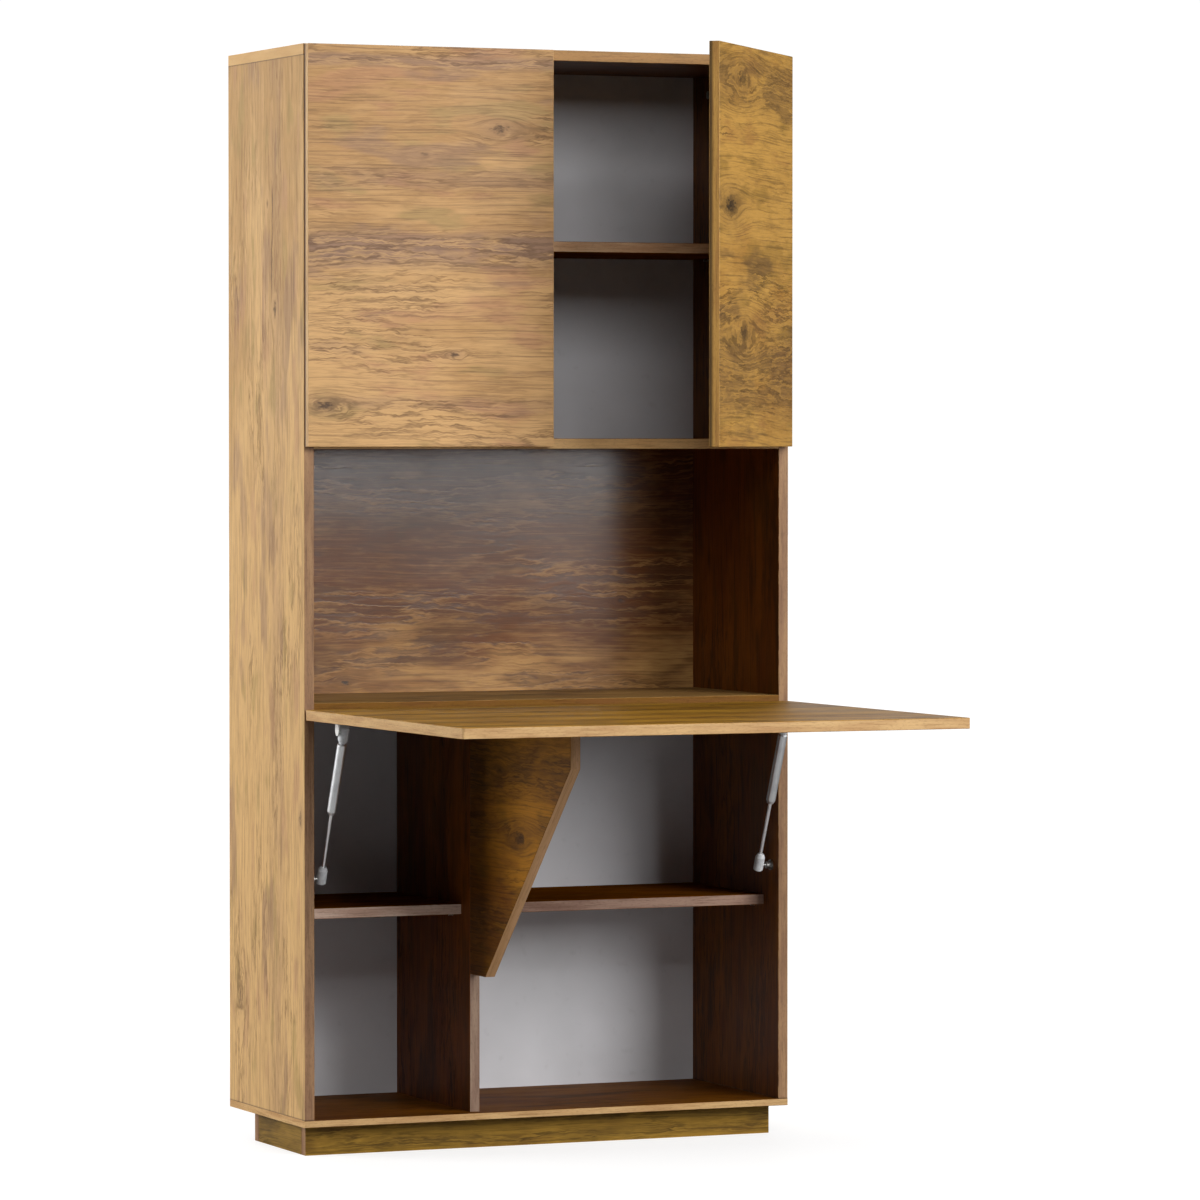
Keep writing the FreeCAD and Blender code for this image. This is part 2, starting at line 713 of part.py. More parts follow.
# ---- Cup hinges ---------------------------------------------------------------------------------
# A master hinge lies as it does on the open flap. The pin runs along X through the origin, the
# panel's edge is at +Y, its back face below the pin, and the arm runs back towards +Y.

def hinge_cup_master():
    """The cup in the moving panel, with its screwed flange and the pin across it."""
    body = new_body("hinge_cup_master", kept=False)
    panel_back = f"-{PIN_ABOVE_BACK}"
    shell = new_sketch(body, "cup_plan", "XY_Plane", ("0", "0", panel_back))
    circle(shell, ("0", CUP_CENTRE), "cup_radius - fitting_play")
    pad(body, "cup_shell", shell, "cup_height")
    flange = new_sketch(body, "cup_flange_plan", "XY_Plane", ("0", "0", panel_back))
    rectangle(flange, ("-cup_flange_width / 2", "-cup_flange_start - cup_flange_depth"),
              ("cup_flange_width / 2", "-cup_flange_start"))
    pad(body, "cup_flange_plate", flange, "cup_flange", against=True)
    mouth = f"{panel_back} - cup_flange"
    hollow = new_sketch(body, "cup_hollow_plan", "XY_Plane", ("0", "0", mouth))
    circle(hollow, ("0", CUP_CENTRE), "cup_radius - fitting_play - cup_wall")
    pocket(body, "cup_hollow", hollow, "cup_bore_depth", along=True)
    slot = new_sketch(body, "cup_slot_plan", "XY_Plane", ("0", "0", mouth))
    rectangle(slot, ("-cup_slot / 2", "arm_neck_back / 2"), ("cup_slot / 2", "hinge_edge_reach"))
    pocket(body, "cup_slot_cut", slot, "cup_bore_depth", along=True)
    pin = new_sketch(body, "cup_pin_plan", "YZ_Plane", ("0", "0", "-hinge_pin_half"))
    circle(pin, ("0", "0"), "hinge_pin_radius")
    pad(body, "cup_pin", pin, "2 * hinge_pin_half")
    return body


def hinge_arm_master(label, plate_top, plate_width):
    """The gooseneck arm on its plate, with the knuckle that turns on the cup's pin."""
    body = new_body(label, kept=False)
    profile = new_sketch(body, label + "_profile", "YZ_Plane", ("0", "0", "-arm_width / 2"))
    arm_low = "-arm_drop - arm_thickness"
    outline(profile, [("-arm_neck_front", "0"), ("-arm_neck_front", arm_low),
                      ("arm_length", arm_low), ("arm_length", "-arm_drop"),
                      ("arm_neck_back", "-arm_drop"), ("arm_neck_back", "0")])
    pad(body, label + "_gooseneck", profile, "arm_width")
    knuckle = new_sketch(body, label + "_knuckle_plan", "YZ_Plane", ("0", "0", "-arm_width / 2"))
    circle(knuckle, ("0", "0"), "knuckle_radius")
    pad(body, label + "_knuckle", knuckle, "arm_width")
    bores(body, label + "_pin_bore", "YZ_Plane", "-arm_width / 2", [("0", "0")],
          "hinge_pin_radius + hinge_pin_play", "arm_width", along=True)
    plate = new_sketch(body, label + "_plate_plan", "XY_Plane", ("0", "0", "-arm_drop"))
    rectangle(plate, (f"-{plate_width} / 2", "arm_plate_start"),
              (f"{plate_width} / 2", "arm_plate_start + arm_plate_length"))
    pad(body, label + "_plate", plate, f"arm_drop - {plate_top}")
    return body


DOOR_ARM_TOP = "(board - door_reveal - hinge_edge_reach)"
hinge_cup = hinge_cup_master()
flap_arm = hinge_arm_master("flap_arm_master", f"({FLAP_PIN_Z} - plinth_height - desk_shelf_level)",
                            "flap_plate_width")
door_arm = hinge_arm_master("door_arm_master", DOOR_ARM_TOP, "door_plate_width")


def cup_pockets(body, name, centres, back_face, role, along):
    bores(body, name, role, back_face, centres, "cup_radius", "cup_bore_depth", along)


# ---- Doors --------------------------------------------------------------------------------------

def door(label, side, opening):
    """A flush overlay door that turns about its hinge pins, with its own origin on their axis."""
    far_edge = f"({DOOR_WIDTH} - hinge_edge_reach)"
    low_x, cup_x = ("-hinge_edge_reach", f"-{CUP_CENTRE}")
    if side > 0:
        low_x, cup_x = (f"-{far_edge}", CUP_CENTRE)
    place = (f"{'-' if side < 0 else ''}{DOOR_PIN_X}", PIN_Y, "plinth_height + door_level")
    body = new_body(label, place, UP, f"{'-' if side < 0 else ''}{opening}")
    plan = new_sketch(body, label + "_plan", "XY_Plane", (low_x, f"-{PIN_BELOW_FACE}", "0"))
    rectangle(plan, ("0", "0"), (DOOR_WIDTH, "board"))
    pad(body, label + "_board", plan, DOOR_HEIGHT)
    cup_pockets(body, label + "_cup_bores", [(cup_x, z) for z in HINGE_HEIGHTS],
                f"-{PIN_ABOVE_BACK}", "XZ_Plane", along=True)
    ease(body, label + "_eased", outer_edge)
    pin = value(place[0])
    turn = value(opening)
    outward = RIGHT_WAY * side
    fixed = frame_of(UP * -side, outward)
    arms = []
    cups = []
    for height in HINGE_HEIGHTS:
        z = value(f"plinth_height + door_level + {height}")
        arms.append((door_arm, at(pin, PIN_Y, z, fixed)))
        swung = fixed.multiply(FreeCAD.Rotation(RIGHT_WAY, 90 - turn))
        cups.append((hinge_cup, at(pin, PIN_Y, z, swung)))
    group(label + "_hinge_cups", cups)
    group(label + "_hinge_arms", arms)


door("left_door", -1, "0")
door("right_door", 1, "right_door_opening")


# ---- Desk flap ----------------------------------------------------------------------------------

FLAP_HINGES = ("flap_hinge_left", "flap_hinge_middle", "flap_hinge_right")


def desk_flap():
    """The writing flap, level on its hinges, with its own origin on their axis."""
    body = new_body("desk_flap", ("0", PIN_Y, FLAP_PIN_Z))
    plan = new_sketch(body, "flap_plan", "XY_Plane",
                      ("-flap_width / 2", "hinge_edge_reach - flap_length", f"-{PIN_ABOVE_BACK}"))
    rectangle(plan, ("0", "0"), ("flap_width", "flap_length"))
    pad(body, "flap_board", plan, "board")
    centres = [(f"{LEFT} + {x}", CUP_CENTRE) for x in FLAP_HINGES]
    cup_pockets(body, "flap_cup_bores", centres, f"-{PIN_ABOVE_BACK}", "XY_Plane", along=True)
    doc.recompute()
    tip = body.Tip
    corner = value("hinge_edge_reach - flap_length")
    names = [f"Edge{index}" for index, edge in enumerate(tip.Shape.Edges, start=1)
             if edge.BoundBox.YMax < corner + TOUCH and edge.BoundBox.XLength < TOUCH]
    rounded = body.newObject("PartDesign::Fillet", "flap_corners")
    rounded.Base = (tip, names)
    bind(rounded, "Radius", "flap_corner")
    ease(body, "flap_eased", flap_rim)


def flap_rim(edge):
    """True for the edges around the flap's two faces, but not those of the cup bores."""
    box = edge.BoundBox
    level = box.ZLength < TOUCH
    arc = edge.Curve.TypeId == "Part::GeomCircle"
    is_bore = arc and abs(edge.Curve.Radius - SIZES["cup_radius"]) < TOUCH
    return level and not is_bore


desk_flap()
group("flap_hinge_cups",
      [(hinge_cup, at(f"{LEFT} + {x}", PIN_Y, FLAP_PIN_Z)) for x in FLAP_HINGES])
group("flap_hinge_arms",
      [(flap_arm, at(f"{LEFT} + {x}", PIN_Y, FLAP_PIN_Z)) for x in FLAP_HINGES])


# ---- Gas struts ---------------------------------------------------------------------------------
# Each strut's own Z runs from the ball on the side board to the ball under the flap.

WALL_BALL = (f"({FRONT} + strut_wall_depth)", "(plinth_height + strut_wall_level)")
FLAP_BALL = (f"({PIN_Y} - strut_flap_reach)", f"({FLAP_PIN_Z} - strut_flap_drop)")


def socket_body(label, x, ball, lean, head_down):
    """A ball socket: a round block with a side mouth for the stud's neck."""
    turn = f"{lean} + 180 deg" if head_down else lean
    body = new_body(label, (x, ball[0], ball[1]), RIGHT_WAY, turn)
    length = "socket_length"
    profile = new_sketch(body, label + "_profile", "YZ_Plane")
    outline(profile, [("0", "-socket_tail"), ("socket_radius - socket_bevel", "-socket_tail"),
                      ("socket_radius", "-socket_tail + socket_bevel"),
                      ("socket_radius", "socket_shoulder"), ("socket_neck_radius", length),
                      ("0", length)])
    block = body.newObject("PartDesign::Revolution", label + "_block")
    block.Profile = profile
    block.ReferenceAxis = (profile, ["V_Axis"])
    block.Angle = 360
    bores(body, label + "_rod_bore", "XY_Plane", length, [("0", "0")],
          "rod_radius + fitting_play", "socket_length - rod_start")
    return body


def open_mouth(body, label, toward_left):
    """Bores the round seat for the ball, and the narrower mouth on the side that faces the stud."""
    far = "(ball_radius + ball_play)" if toward_left else "(-ball_radius - ball_play)"
    bores(body, label + "_seat", "YZ_Plane", far, [("0", "0")], "ball_radius + ball_play",
          "2 * (ball_radius + ball_play)", along=not toward_left)
    bores(body, label + "_mouth", "YZ_Plane", "0", [("0", "0")], "ball_mouth_radius",
          "socket_radius + ball_play", along=not toward_left)


def strut_rod(label, x):
    """The bright rod with the piston on its hidden end."""
    body = new_body(label, (x, WALL_BALL[0], WALL_BALL[1]), RIGHT_WAY, STRUT_LEAN)
    plan = new_sketch(body, label + "_plan", "XY_Plane", ("0", "0", "rod_start"))
    circle(plan, ("0", "0"), "rod_radius")
    pad(body, label + "_shaft", plan, "piston_start + piston_length - rod_start")
    piston = new_sketch(body, label + "_piston_plan", "XY_Plane", ("0", "0", "piston_start"))
    circle(piston, ("0", "0"), "piston_radius")
    pad(body, label + "_piston", piston, "piston_length")


def strut_tube(label, x):
    """The pressure tube, open at its guide, with a stub for the upper socket."""
    body = new_body(label, (x, WALL_BALL[0], WALL_BALL[1]), RIGHT_WAY, STRUT_LEAN)
    tube_end = "(strut_length - socket_length)"
    profile = new_sketch(body, label + "_profile", "XZ_Plane")
    outline(profile, [("rod_radius + guide_play", "tube_start"),
                      ("socket_neck_radius", "tube_start"),
                      ("tube_radius", "tube_start + tube_taper"),
                      ("tube_radius", f"{tube_end} - tube_shoulder"),
                      ("socket_neck_radius", tube_end),
                      ("rod_radius", tube_end),
                      ("rod_radius", "strut_length - rod_start"),
                      ("0", "strut_length - rod_start"),
                      ("0", f"{tube_end} - tube_head"),
                      ("tube_bore_radius", f"{tube_end} - tube_head"),
                      ("tube_bore_radius", "tube_start + tube_guide"),
                      ("rod_radius + guide_play", "tube_start + tube_guide")])
    shell = body.newObject("PartDesign::Revolution", label + "_shell")
    shell.Profile = profile
    shell.ReferenceAxis = (profile, ["V_Axis"])
    shell.Angle = 360


def ball_profile(body, name, ball, back, steps):
    """A stud turned about X: steps that narrow from its seat to a neck, then a ball in flats."""
    sketch = new_sketch(body, name + "_profile", "XY_Plane")
    corners = [(f"-{back}", "0")]
    corners += steps
    corners.append((f"-{ball} * cos(asin(ball_neck_radius / {ball}))", "ball_neck_radius"))
    corners += [(f"-{ball} * cos({angle})", f"{ball} * sin({angle})") for angle in BALL_FLATS]
    corners += [(f"{ball} * cos({angle})", f"{ball} * sin({angle})")
                for angle in reversed(BALL_FLATS)]
    corners += [(f"{ball} * cos({BALL_NOSE})", f"{ball} * sin({BALL_NOSE})"),
                (f"{ball} * cos({BALL_NOSE})", "0")]
    outline(sketch, corners)
    turned(body, name, sketch)


BALL_FLATS = ("52 deg", "76 deg")
BALL_NOSE = "26 deg"


def wall_stud(label, side):
    """A ball stud screwed into the side board, with a stout foot."""
    gap = "(strut_inset - board)"
    body = new_body(label, (f"{'-' if side < 0 else ''}{STRUT_X}", WALL_BALL[0], WALL_BALL[1]),
                    UP, "0" if side < 0 else "180")
    shank = "ball_neck_radius - fitting_play"
    steps = [(f"-{gap} - stud_shank", shank), (f"-{gap}", shank), (f"-{gap}", "stud_flange_radius"),
             (f"-{gap} + stud_flange", "stud_flange_radius"),
             (f"-{gap} + stud_flange", "stud_boss_radius"),
             (f"-{gap} + stud_flange + stud_boss", "stud_boss_radius"),
             (f"-{gap} + stud_flange + stud_boss", "ball_neck_radius")]
    ball_profile(body, label + "_turning", "ball_radius", f"({gap} + stud_shank)", steps)


def flap_bracket(label, side):
    """A bent plate under the flap whose hanging tab carries the upper ball."""
    body = new_body(label, (f"{'-' if side < 0 else ''}{STRUT_X}", FLAP_BALL[0], FLAP_BALL[1]),
                    UP, "0" if side < 0 else "180")
    top = f"(strut_flap_drop - {PIN_ABOVE_BACK})"
    tab = new_sketch(body, label + "_tab_plan", "YZ_Plane", ("0", "0", "-flap_tab_offset"))
    outline(tab, [("-flap_tab_width / 4", "-flap_tab_drop"), ("flap_tab_width / 4", "-flap_tab_drop"),
                  ("flap_tab_width / 2", "0"), ("flap_tab_width / 2", top),
                  ("-flap_tab_width / 2", top), ("-flap_tab_width / 2", "0")])
    pad(body, label + "_tab", tab, "flap_plate")
    foot = new_sketch(body, label + "_foot_plan", "XY_Plane", ("0", "0", f"{top} - flap_plate"))
    rectangle(foot, ("-flap_tab_offset", "-flap_foot_length / 2"),
              ("flap_foot_width - flap_tab_offset", "flap_foot_length / 2"))
    pad(body, label + "_foot", foot, "flap_plate")
    neck = "flap_tab_offset - flap_plate / 2"
    ball_profile(body, label + "_stud", "flap_ball_radius", f"({neck})",
                 [(f"-({neck})", "ball_neck_radius")])


def strut(side):
    name = "left_strut" if side < 0 else "right_strut"
    x = f"{'-' if side < 0 else ''}{STRUT_X}"
    wall_stud(name + "_wall_stud", side)
    lower = socket_body(name + "_lower_socket", x, WALL_BALL, STRUT_LEAN, head_down=False)
    open_mouth(lower, name + "_lower_socket", toward_left=side < 0)
    strut_rod(name + "_rod", x)
    strut_tube(name + "_cylinder", x)
    upper = socket_body(name + "_upper_socket", x, FLAP_BALL, STRUT_LEAN, head_down=True)
    open_mouth(upper, name + "_upper_socket", toward_left=side < 0)
    flap_bracket(name + "_flap_bracket", side)


for strut_side in (-1, 1):
    strut(strut_side)


# ---- Swinging bracket board ---------------------------------------------------------------------

def support_bracket():
    """A board on edge with its front corner cut away, so that it tapers to the divider's foot."""
    body = new_body("support_bracket", (DIVIDER_LEFT, f"{BRACKET_REAR} - bracket_reach",
                                        f"{BRACKET_TOP} - bracket_height"))
    profile = new_sketch(body, "bracket_profile", "YZ_Plane")
    outline(profile, [("0", "bracket_height"), ("0", "bracket_height - bracket_tip"),
                      ("bracket_reach - bracket_foot", "0"), ("bracket_reach", "0"),
                      ("bracket_reach", "bracket_height")])
    pad(body, "bracket_board", profile, "board")
    ease(body, "bracket_eased", lambda edge: edge.BoundBox.XLength < TOUCH)
    box_board("bracket_pad", (f"{DIVIDER_LEFT} + board / 4",
                              f"{BRACKET_REAR} - bracket_reach + bracket_pad_inset", BRACKET_TOP),
              ("board / 2", "bracket_pad_length", "bracket_pad"))


def leaf_body(label, way, knuckles):
    """One leaf of a butt hinge about Z, with knuckles over the given stretches of its length."""
    body = new_body(label, kept=False)
    face = "-butt_knuckle_offset"
    near, far = ("leaf_clear", "(leaf_clear + leaf_width)")
    low, high = (near, far) if way > 0 else (f"-{far}", f"-{near}")
    plan = new_sketch(body, label + "_plan", "XY_Plane", ("0", "0", "-leaf_length / 2"))
    rectangle(plan, (face, low), (f"{face} + leaf", high))
    pad(body, label + "_plate", plan, "leaf_length")
    for index, (start, end) in enumerate(knuckles):
        barrel = new_sketch(body, f"{label}_barrel_{index}_plan", "XY_Plane", ("0", "0", start))
        circle(barrel, ("0", "0"), "butt_knuckle_radius")
        pad(body, f"{label}_barrel_{index}", barrel, f"{end} - ({start})")
        strap = new_sketch(body, f"{label}_strap_{index}_plan", "XY_Plane", ("0", "0", start))
        edge_low, edge_high = ("0", near) if way > 0 else (f"-{near}", "0")
        rectangle(strap, (face, edge_low), (f"{face} + leaf", edge_high))
        pad(body, f"{label}_strap_{index}", strap, f"{end} - ({start})")
    bores(body, label + "_pin_bore", "XY_Plane", "-leaf_length / 2", [("0", "0")],
          "butt_pin_radius + butt_pin_play", "leaf_length", along=True)
    return body


def bracket_hinges():
    outer = "(butt_middle / 2 + butt_gap)"
    fixed = leaf_body("divider_leaf_master", 1,
                      [("-leaf_length / 2", f"-{outer}"), (outer, "leaf_length / 2")])
    moving = leaf_body("bracket_leaf_master", -1, [("-butt_middle / 2", "butt_middle / 2")])
    pin = new_body("butt_pin_master", kept=False)
    plan = new_sketch(pin, "butt_pin_plan", "XY_Plane", ("0", "0", "-leaf_length / 2"))
    circle(plan, ("0", "0"), "butt_pin_radius")
    pad(pin, "butt_pin_shaft", plan, "leaf_length")
    cap = new_sketch(pin, "butt_cap_plan", "XY_Plane", ("0", "0", "leaf_length / 2"))
    circle(cap, ("0", "0"), "butt_knuckle_radius - butt_gap")
    pad(pin, "butt_pin_cap_disc", cap, "butt_pin_cap")
    heights = [f"{BRACKET_TOP} - bracket_height + {z}"
               for z in ("bracket_hinge_low", "bracket_hinge_high")]
    for label, master in (("divider_hinge_leaves", fixed), ("bracket_hinge_leaves", moving),
                          ("bracket_hinge_pins", pin)):
        group(label, [(master, at(BUTT_PIN_X, BUTT_PIN_Y, z)) for z in heights])


support_bracket()
bracket_hinges()


# ---- Push latches and wall ties -----------------------------------------------------------------

def push_latches():
    """A sprung plunger in a drilled-in sleeve pushes each door off its seat when pressed."""
    sleeve = new_body("latch_sleeve_master", kept=False)
    ring = new_sketch(sleeve, "sleeve_plan", "XZ_Plane")
    circle(ring, ("0", "0"), "latch_radius - fitting_play")
    pad(sleeve, "sleeve_tube", ring, "latch_length", against=True)
    bores(sleeve, "sleeve_bore", "XZ_Plane", "0", [("0", "0")], "latch_bore_radius",
          "latch_length - latch_wall")
    places = {"left": f"({LEFT} + latch_inset)", "right": f"(-{LEFT} - latch_inset)"}
    height = f"({TOP_UNDERSIDE} + board / 2)"
    group("latch_sleeves", [(sleeve, at(x, FRONT, height)) for x in places.values()])
    for side, x in places.items():
        plunger = new_body(f"{side}_latch_plunger", (x, f"{FRONT} - plunger_nose", height))
        plan = new_sketch(plunger, f"{side}_plunger_plan", "XZ_Plane")
        circle(plan, ("0", "0"), "plunger_radius")
        pad(plunger, f"{side}_plunger_rod", plan, "plunger_length", against=True)
        ease(plunger, f"{side}_plunger_nose", lambda edge: edge.BoundBox.YMax < TOUCH)


def wall_ties():
    """Steel angles under the top board take a screw each through the back into the wall."""
    tie = new_body("tie_master", kept=False)
    profile = new_sketch(tie, "tie_profile", "YZ_Plane", ("0", "0", "-tie_width / 2"))
    outline(profile, [("0", "0"), ("0", "-tie_leg"), ("-tie_plate", "-tie_leg"),
                      ("-tie_plate", "-tie_plate"), ("-tie_leg", "-tie_plate"), ("-tie_leg", "0")])
    pad(tie, "tie_angle", profile, "tie_width")
    bores(tie, "tie_wall_hole", "XZ_Plane", "0", [("0", "-tie_hole_drop")], "tie_hole_radius",
          "2 * tie_plate", along=True)
    head = new_sketch(tie, "tie_screw_plan", "XY_Plane", ("0", "0", "-tie_plate"))
    circle(head, ("0", "-tie_screw_reach"), "screw_head_radius")
    pad(tie, "tie_screw_head", head, "tie_screw_head", against=True)
    group("wall_ties", [(tie, at(f"{LEFT} + {x}", BACK_FACE, TOP_UNDERSIDE))
                        for x in ("tie_left", "tie_left + tie_spacing")])


push_latches()
wall_ties()


# ---- Check and write ----------------------------------------------------------------------------

doc.recompute()
CUTS = ("PartDesign::Pocket",)
for item in doc.Objects:
    if "Invalid" in item.State or "Error" in item.State:
        raise RuntimeError(f"{item.Label} failed: {item.State}")
    if item.TypeId in CUTS:
        before = item.BaseFeature.Shape.Volume
        if before - item.Shape.Volume < TOUCH:
            raise RuntimeError(f"{item.Label} cuts nothing")

os.makedirs("parts", exist_ok=True)
for part in parts:
    shape = part.Shape
    if shape.isNull() or not shape.isValid() or not shape.Solids:
        raise RuntimeError(f"{part.Label} has no valid solid")
    shape.exportStep(f"parts/{part.Label}.step")
print(len(parts), "sub-parts written")
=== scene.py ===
import math

import bmesh
import bpy
from mathutils import Matrix, Vector


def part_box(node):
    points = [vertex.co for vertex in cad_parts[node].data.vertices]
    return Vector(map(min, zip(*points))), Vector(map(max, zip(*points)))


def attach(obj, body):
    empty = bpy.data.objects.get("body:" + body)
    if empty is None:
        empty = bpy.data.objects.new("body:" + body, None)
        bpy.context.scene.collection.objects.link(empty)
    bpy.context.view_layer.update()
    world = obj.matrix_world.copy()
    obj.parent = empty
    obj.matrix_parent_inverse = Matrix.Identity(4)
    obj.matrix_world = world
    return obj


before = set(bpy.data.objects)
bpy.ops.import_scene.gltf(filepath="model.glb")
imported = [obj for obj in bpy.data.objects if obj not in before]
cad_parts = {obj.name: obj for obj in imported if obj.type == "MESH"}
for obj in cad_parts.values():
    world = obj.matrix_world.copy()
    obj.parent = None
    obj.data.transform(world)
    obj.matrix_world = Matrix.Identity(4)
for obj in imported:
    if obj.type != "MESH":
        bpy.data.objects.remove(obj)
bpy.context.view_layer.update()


# ---- Plinth -------------------------------------------------------------------------------------
# Five rails of foil-faced chipboard stood on edge, with sawn softwood blocks glued in the corners.
# The front and back rails run through; the side rails stop short of them and leave a dark joint.

class Wire:
    """A shader socket with the arithmetic that the finishes are written in."""

    def __init__(self, tree, socket=None):
        self.tree = tree
        self.socket = socket

    def node(self, kind, settings=None, inputs=None, out=0):
        """Adds one node: its settings first, then the values or links of its sockets."""
        made = self.tree.nodes.new(kind)
        for name, value in (settings or {}).items():
            setattr(made, name, value)
        for key, value in (inputs or {}).items():
            if isinstance(value, Wire):
                self.tree.links.new(value.socket, made.inputs[key])
            else:
                made.inputs[key].default_value = value
        return Wire(self.tree, made.outputs[out])

    def maths(self, operation, *values):
        return self.node("ShaderNodeMath", {"operation": operation}, dict(enumerate(values)))

    def __add__(self, other):
        return self.maths("ADD", self, other)

    def __sub__(self, other):
        return self.maths("SUBTRACT", self, other)

    def __rsub__(self, other):
        return self.maths("SUBTRACT", other, self)

    def __mul__(self, other):
        return self.maths("MULTIPLY", self, other)

    def __truediv__(self, other):
        return self.maths("DIVIDE", self, other)

    def __rpow__(self, other):
        return self.maths("POWER", other, self)

    def __neg__(self):
        return self * -1.0

    def __abs__(self):
        return self.maths("ABSOLUTE", self)

    __radd__ = __add__
    __rmul__ = __mul__

    def rise(self, low, high):
        """0 at low, 1 at high and smooth between; low may be the larger."""
        return self.node("ShaderNodeMapRange", {"interpolation_type": "SMOOTHSTEP"},
                         {0: self, 1: low, 2: high, 3: 0.0, 4: 1.0})

    def noise(self, detail, rough=0.5, scale=1.0, swirl=0.0):
        """Fractal noise at this place, about a half, with scale features to a unit of length."""
        return self.node("ShaderNodeTexNoise", None,
                         {"Vector": self, "Scale": scale, "Detail": detail, "Roughness": rough,
                          "Distortion": swirl})

    def parts(self):
        made = self.node("ShaderNodeSeparateXYZ", None, {0: self})
        return [Wire(self.tree, socket) for socket in made.socket.node.outputs]

    def vector(self, x, y, z):
        return self.node("ShaderNodeCombineXYZ", None, {0: x, 1: y, 2: z})

    def colour(self, share, first, second):
        """The first colour where share is 0 and the second where it is 1."""
        return self.node("ShaderNodeMix", {"data_type": "RGBA"},
                         {0: share, 6: first, 7: second}, out=2)

    def bump(self, strength, distance):
        """The surface normal that this height gives."""
        return self.node("ShaderNodeBump", None,
                         {"Strength": strength, "Distance": distance, "Height": self})


def larger(first, second):
    """The larger of two masks, or the one that is there."""
    if first is None or second is None:
        return second if first is None else first
    return first.maths("MAXIMUM", first, second)


def bell(distance):
    """1 where the squared distance is 0, and falling away smoothly."""
    return math.e ** -distance


def tone(red, green, blue):
    """A linear colour from the 0 to 255 numbers of a colour card."""
    def linear(number):
        share = number / 255
        return share / 12.92 if share <= 0.04045 else ((share + 0.055) / 1.055) ** 2.4
    return (linear(red), linear(green), linear(blue), 1.0)


def deeper(look, red, green, blue):
    """The same look with the red, green and blue of every tone taken to a share of themselves."""
    shares = (red, green, blue, 1.0)
    return {name: tuple(level * share for level, share in zip(colour, shares))
            for name, colour in look.items()}


def new_finish(name, **constants):
    """A material, its surface shader, and the place on the piece as the first wire."""
    material = bpy.data.materials.new(name)
    material.use_nodes = True
    surface = material.node_tree.nodes["Principled BSDF"]
    for socket, value in constants.items():
        surface.inputs[socket.replace("_", " ")].default_value = value
    return material, surface, Wire(material.node_tree).node("ShaderNodeTexCoord", out="Object")


def feed(shader, **sockets):
    for name, wire in sockets.items():
        wire.tree.links.new(wire.socket, shader.inputs[name.replace("_", " ")])


def dress(node, material):
    """Gives a packed sub-part its finish."""
    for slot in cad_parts[node].material_slots:
        slot.material = material


AXES = {"x": 0, "y": 1, "z": 2}
SHADE_SHIFT = 3.7
KNOT_SQUASH = 0.45
SLIT = 0.0016
WORN_RIM = (0.0022, 0.0004)
# How far from the back face the edge strip darkens: a dark glue line and painted shade.
SEAM_SHADE_RIM = (0.009, 0.003)
FOIL_DEPTH = 0.0004
SUNNY = {
    "base": tone(178, 140, 90), "pale": tone(202, 164, 112), "rose": tone(172, 130, 98),
    "moss": tone(160, 134, 82), "smoke": tone(146, 114, 90), "line": tone(98, 70, 40),
    "heart": tone(66, 46, 34),
}
MUSTARD = {
    "base": tone(137, 103, 34), "pale": tone(162, 124, 46), "rose": tone(116, 82, 32),
    "moss": tone(124, 94, 26), "smoke": tone(78, 56, 20), "line": tone(40, 27, 8),
    "heart": tone(28, 18, 8),
}
# Deep brown tones for the inside faces and inside boards: painted shade, the same foil taken dark.
DEEP_SHADE = {
    "base": tone(104, 54, 5), "pale": tone(126, 72, 9), "rose": tone(92, 43, 7),
    "moss": tone(90, 53, 6), "smoke": tone(58, 31, 6), "line": tone(32, 15, 3),
    "heart": tone(20, 10, 3),
}
PALE_STRIP = (tone(194, 159, 111), tone(172, 134, 91), tone(112, 78, 44))
DULL_STRIP = (tone(152, 118, 85), tone(128, 95, 70), tone(66, 43, 28))


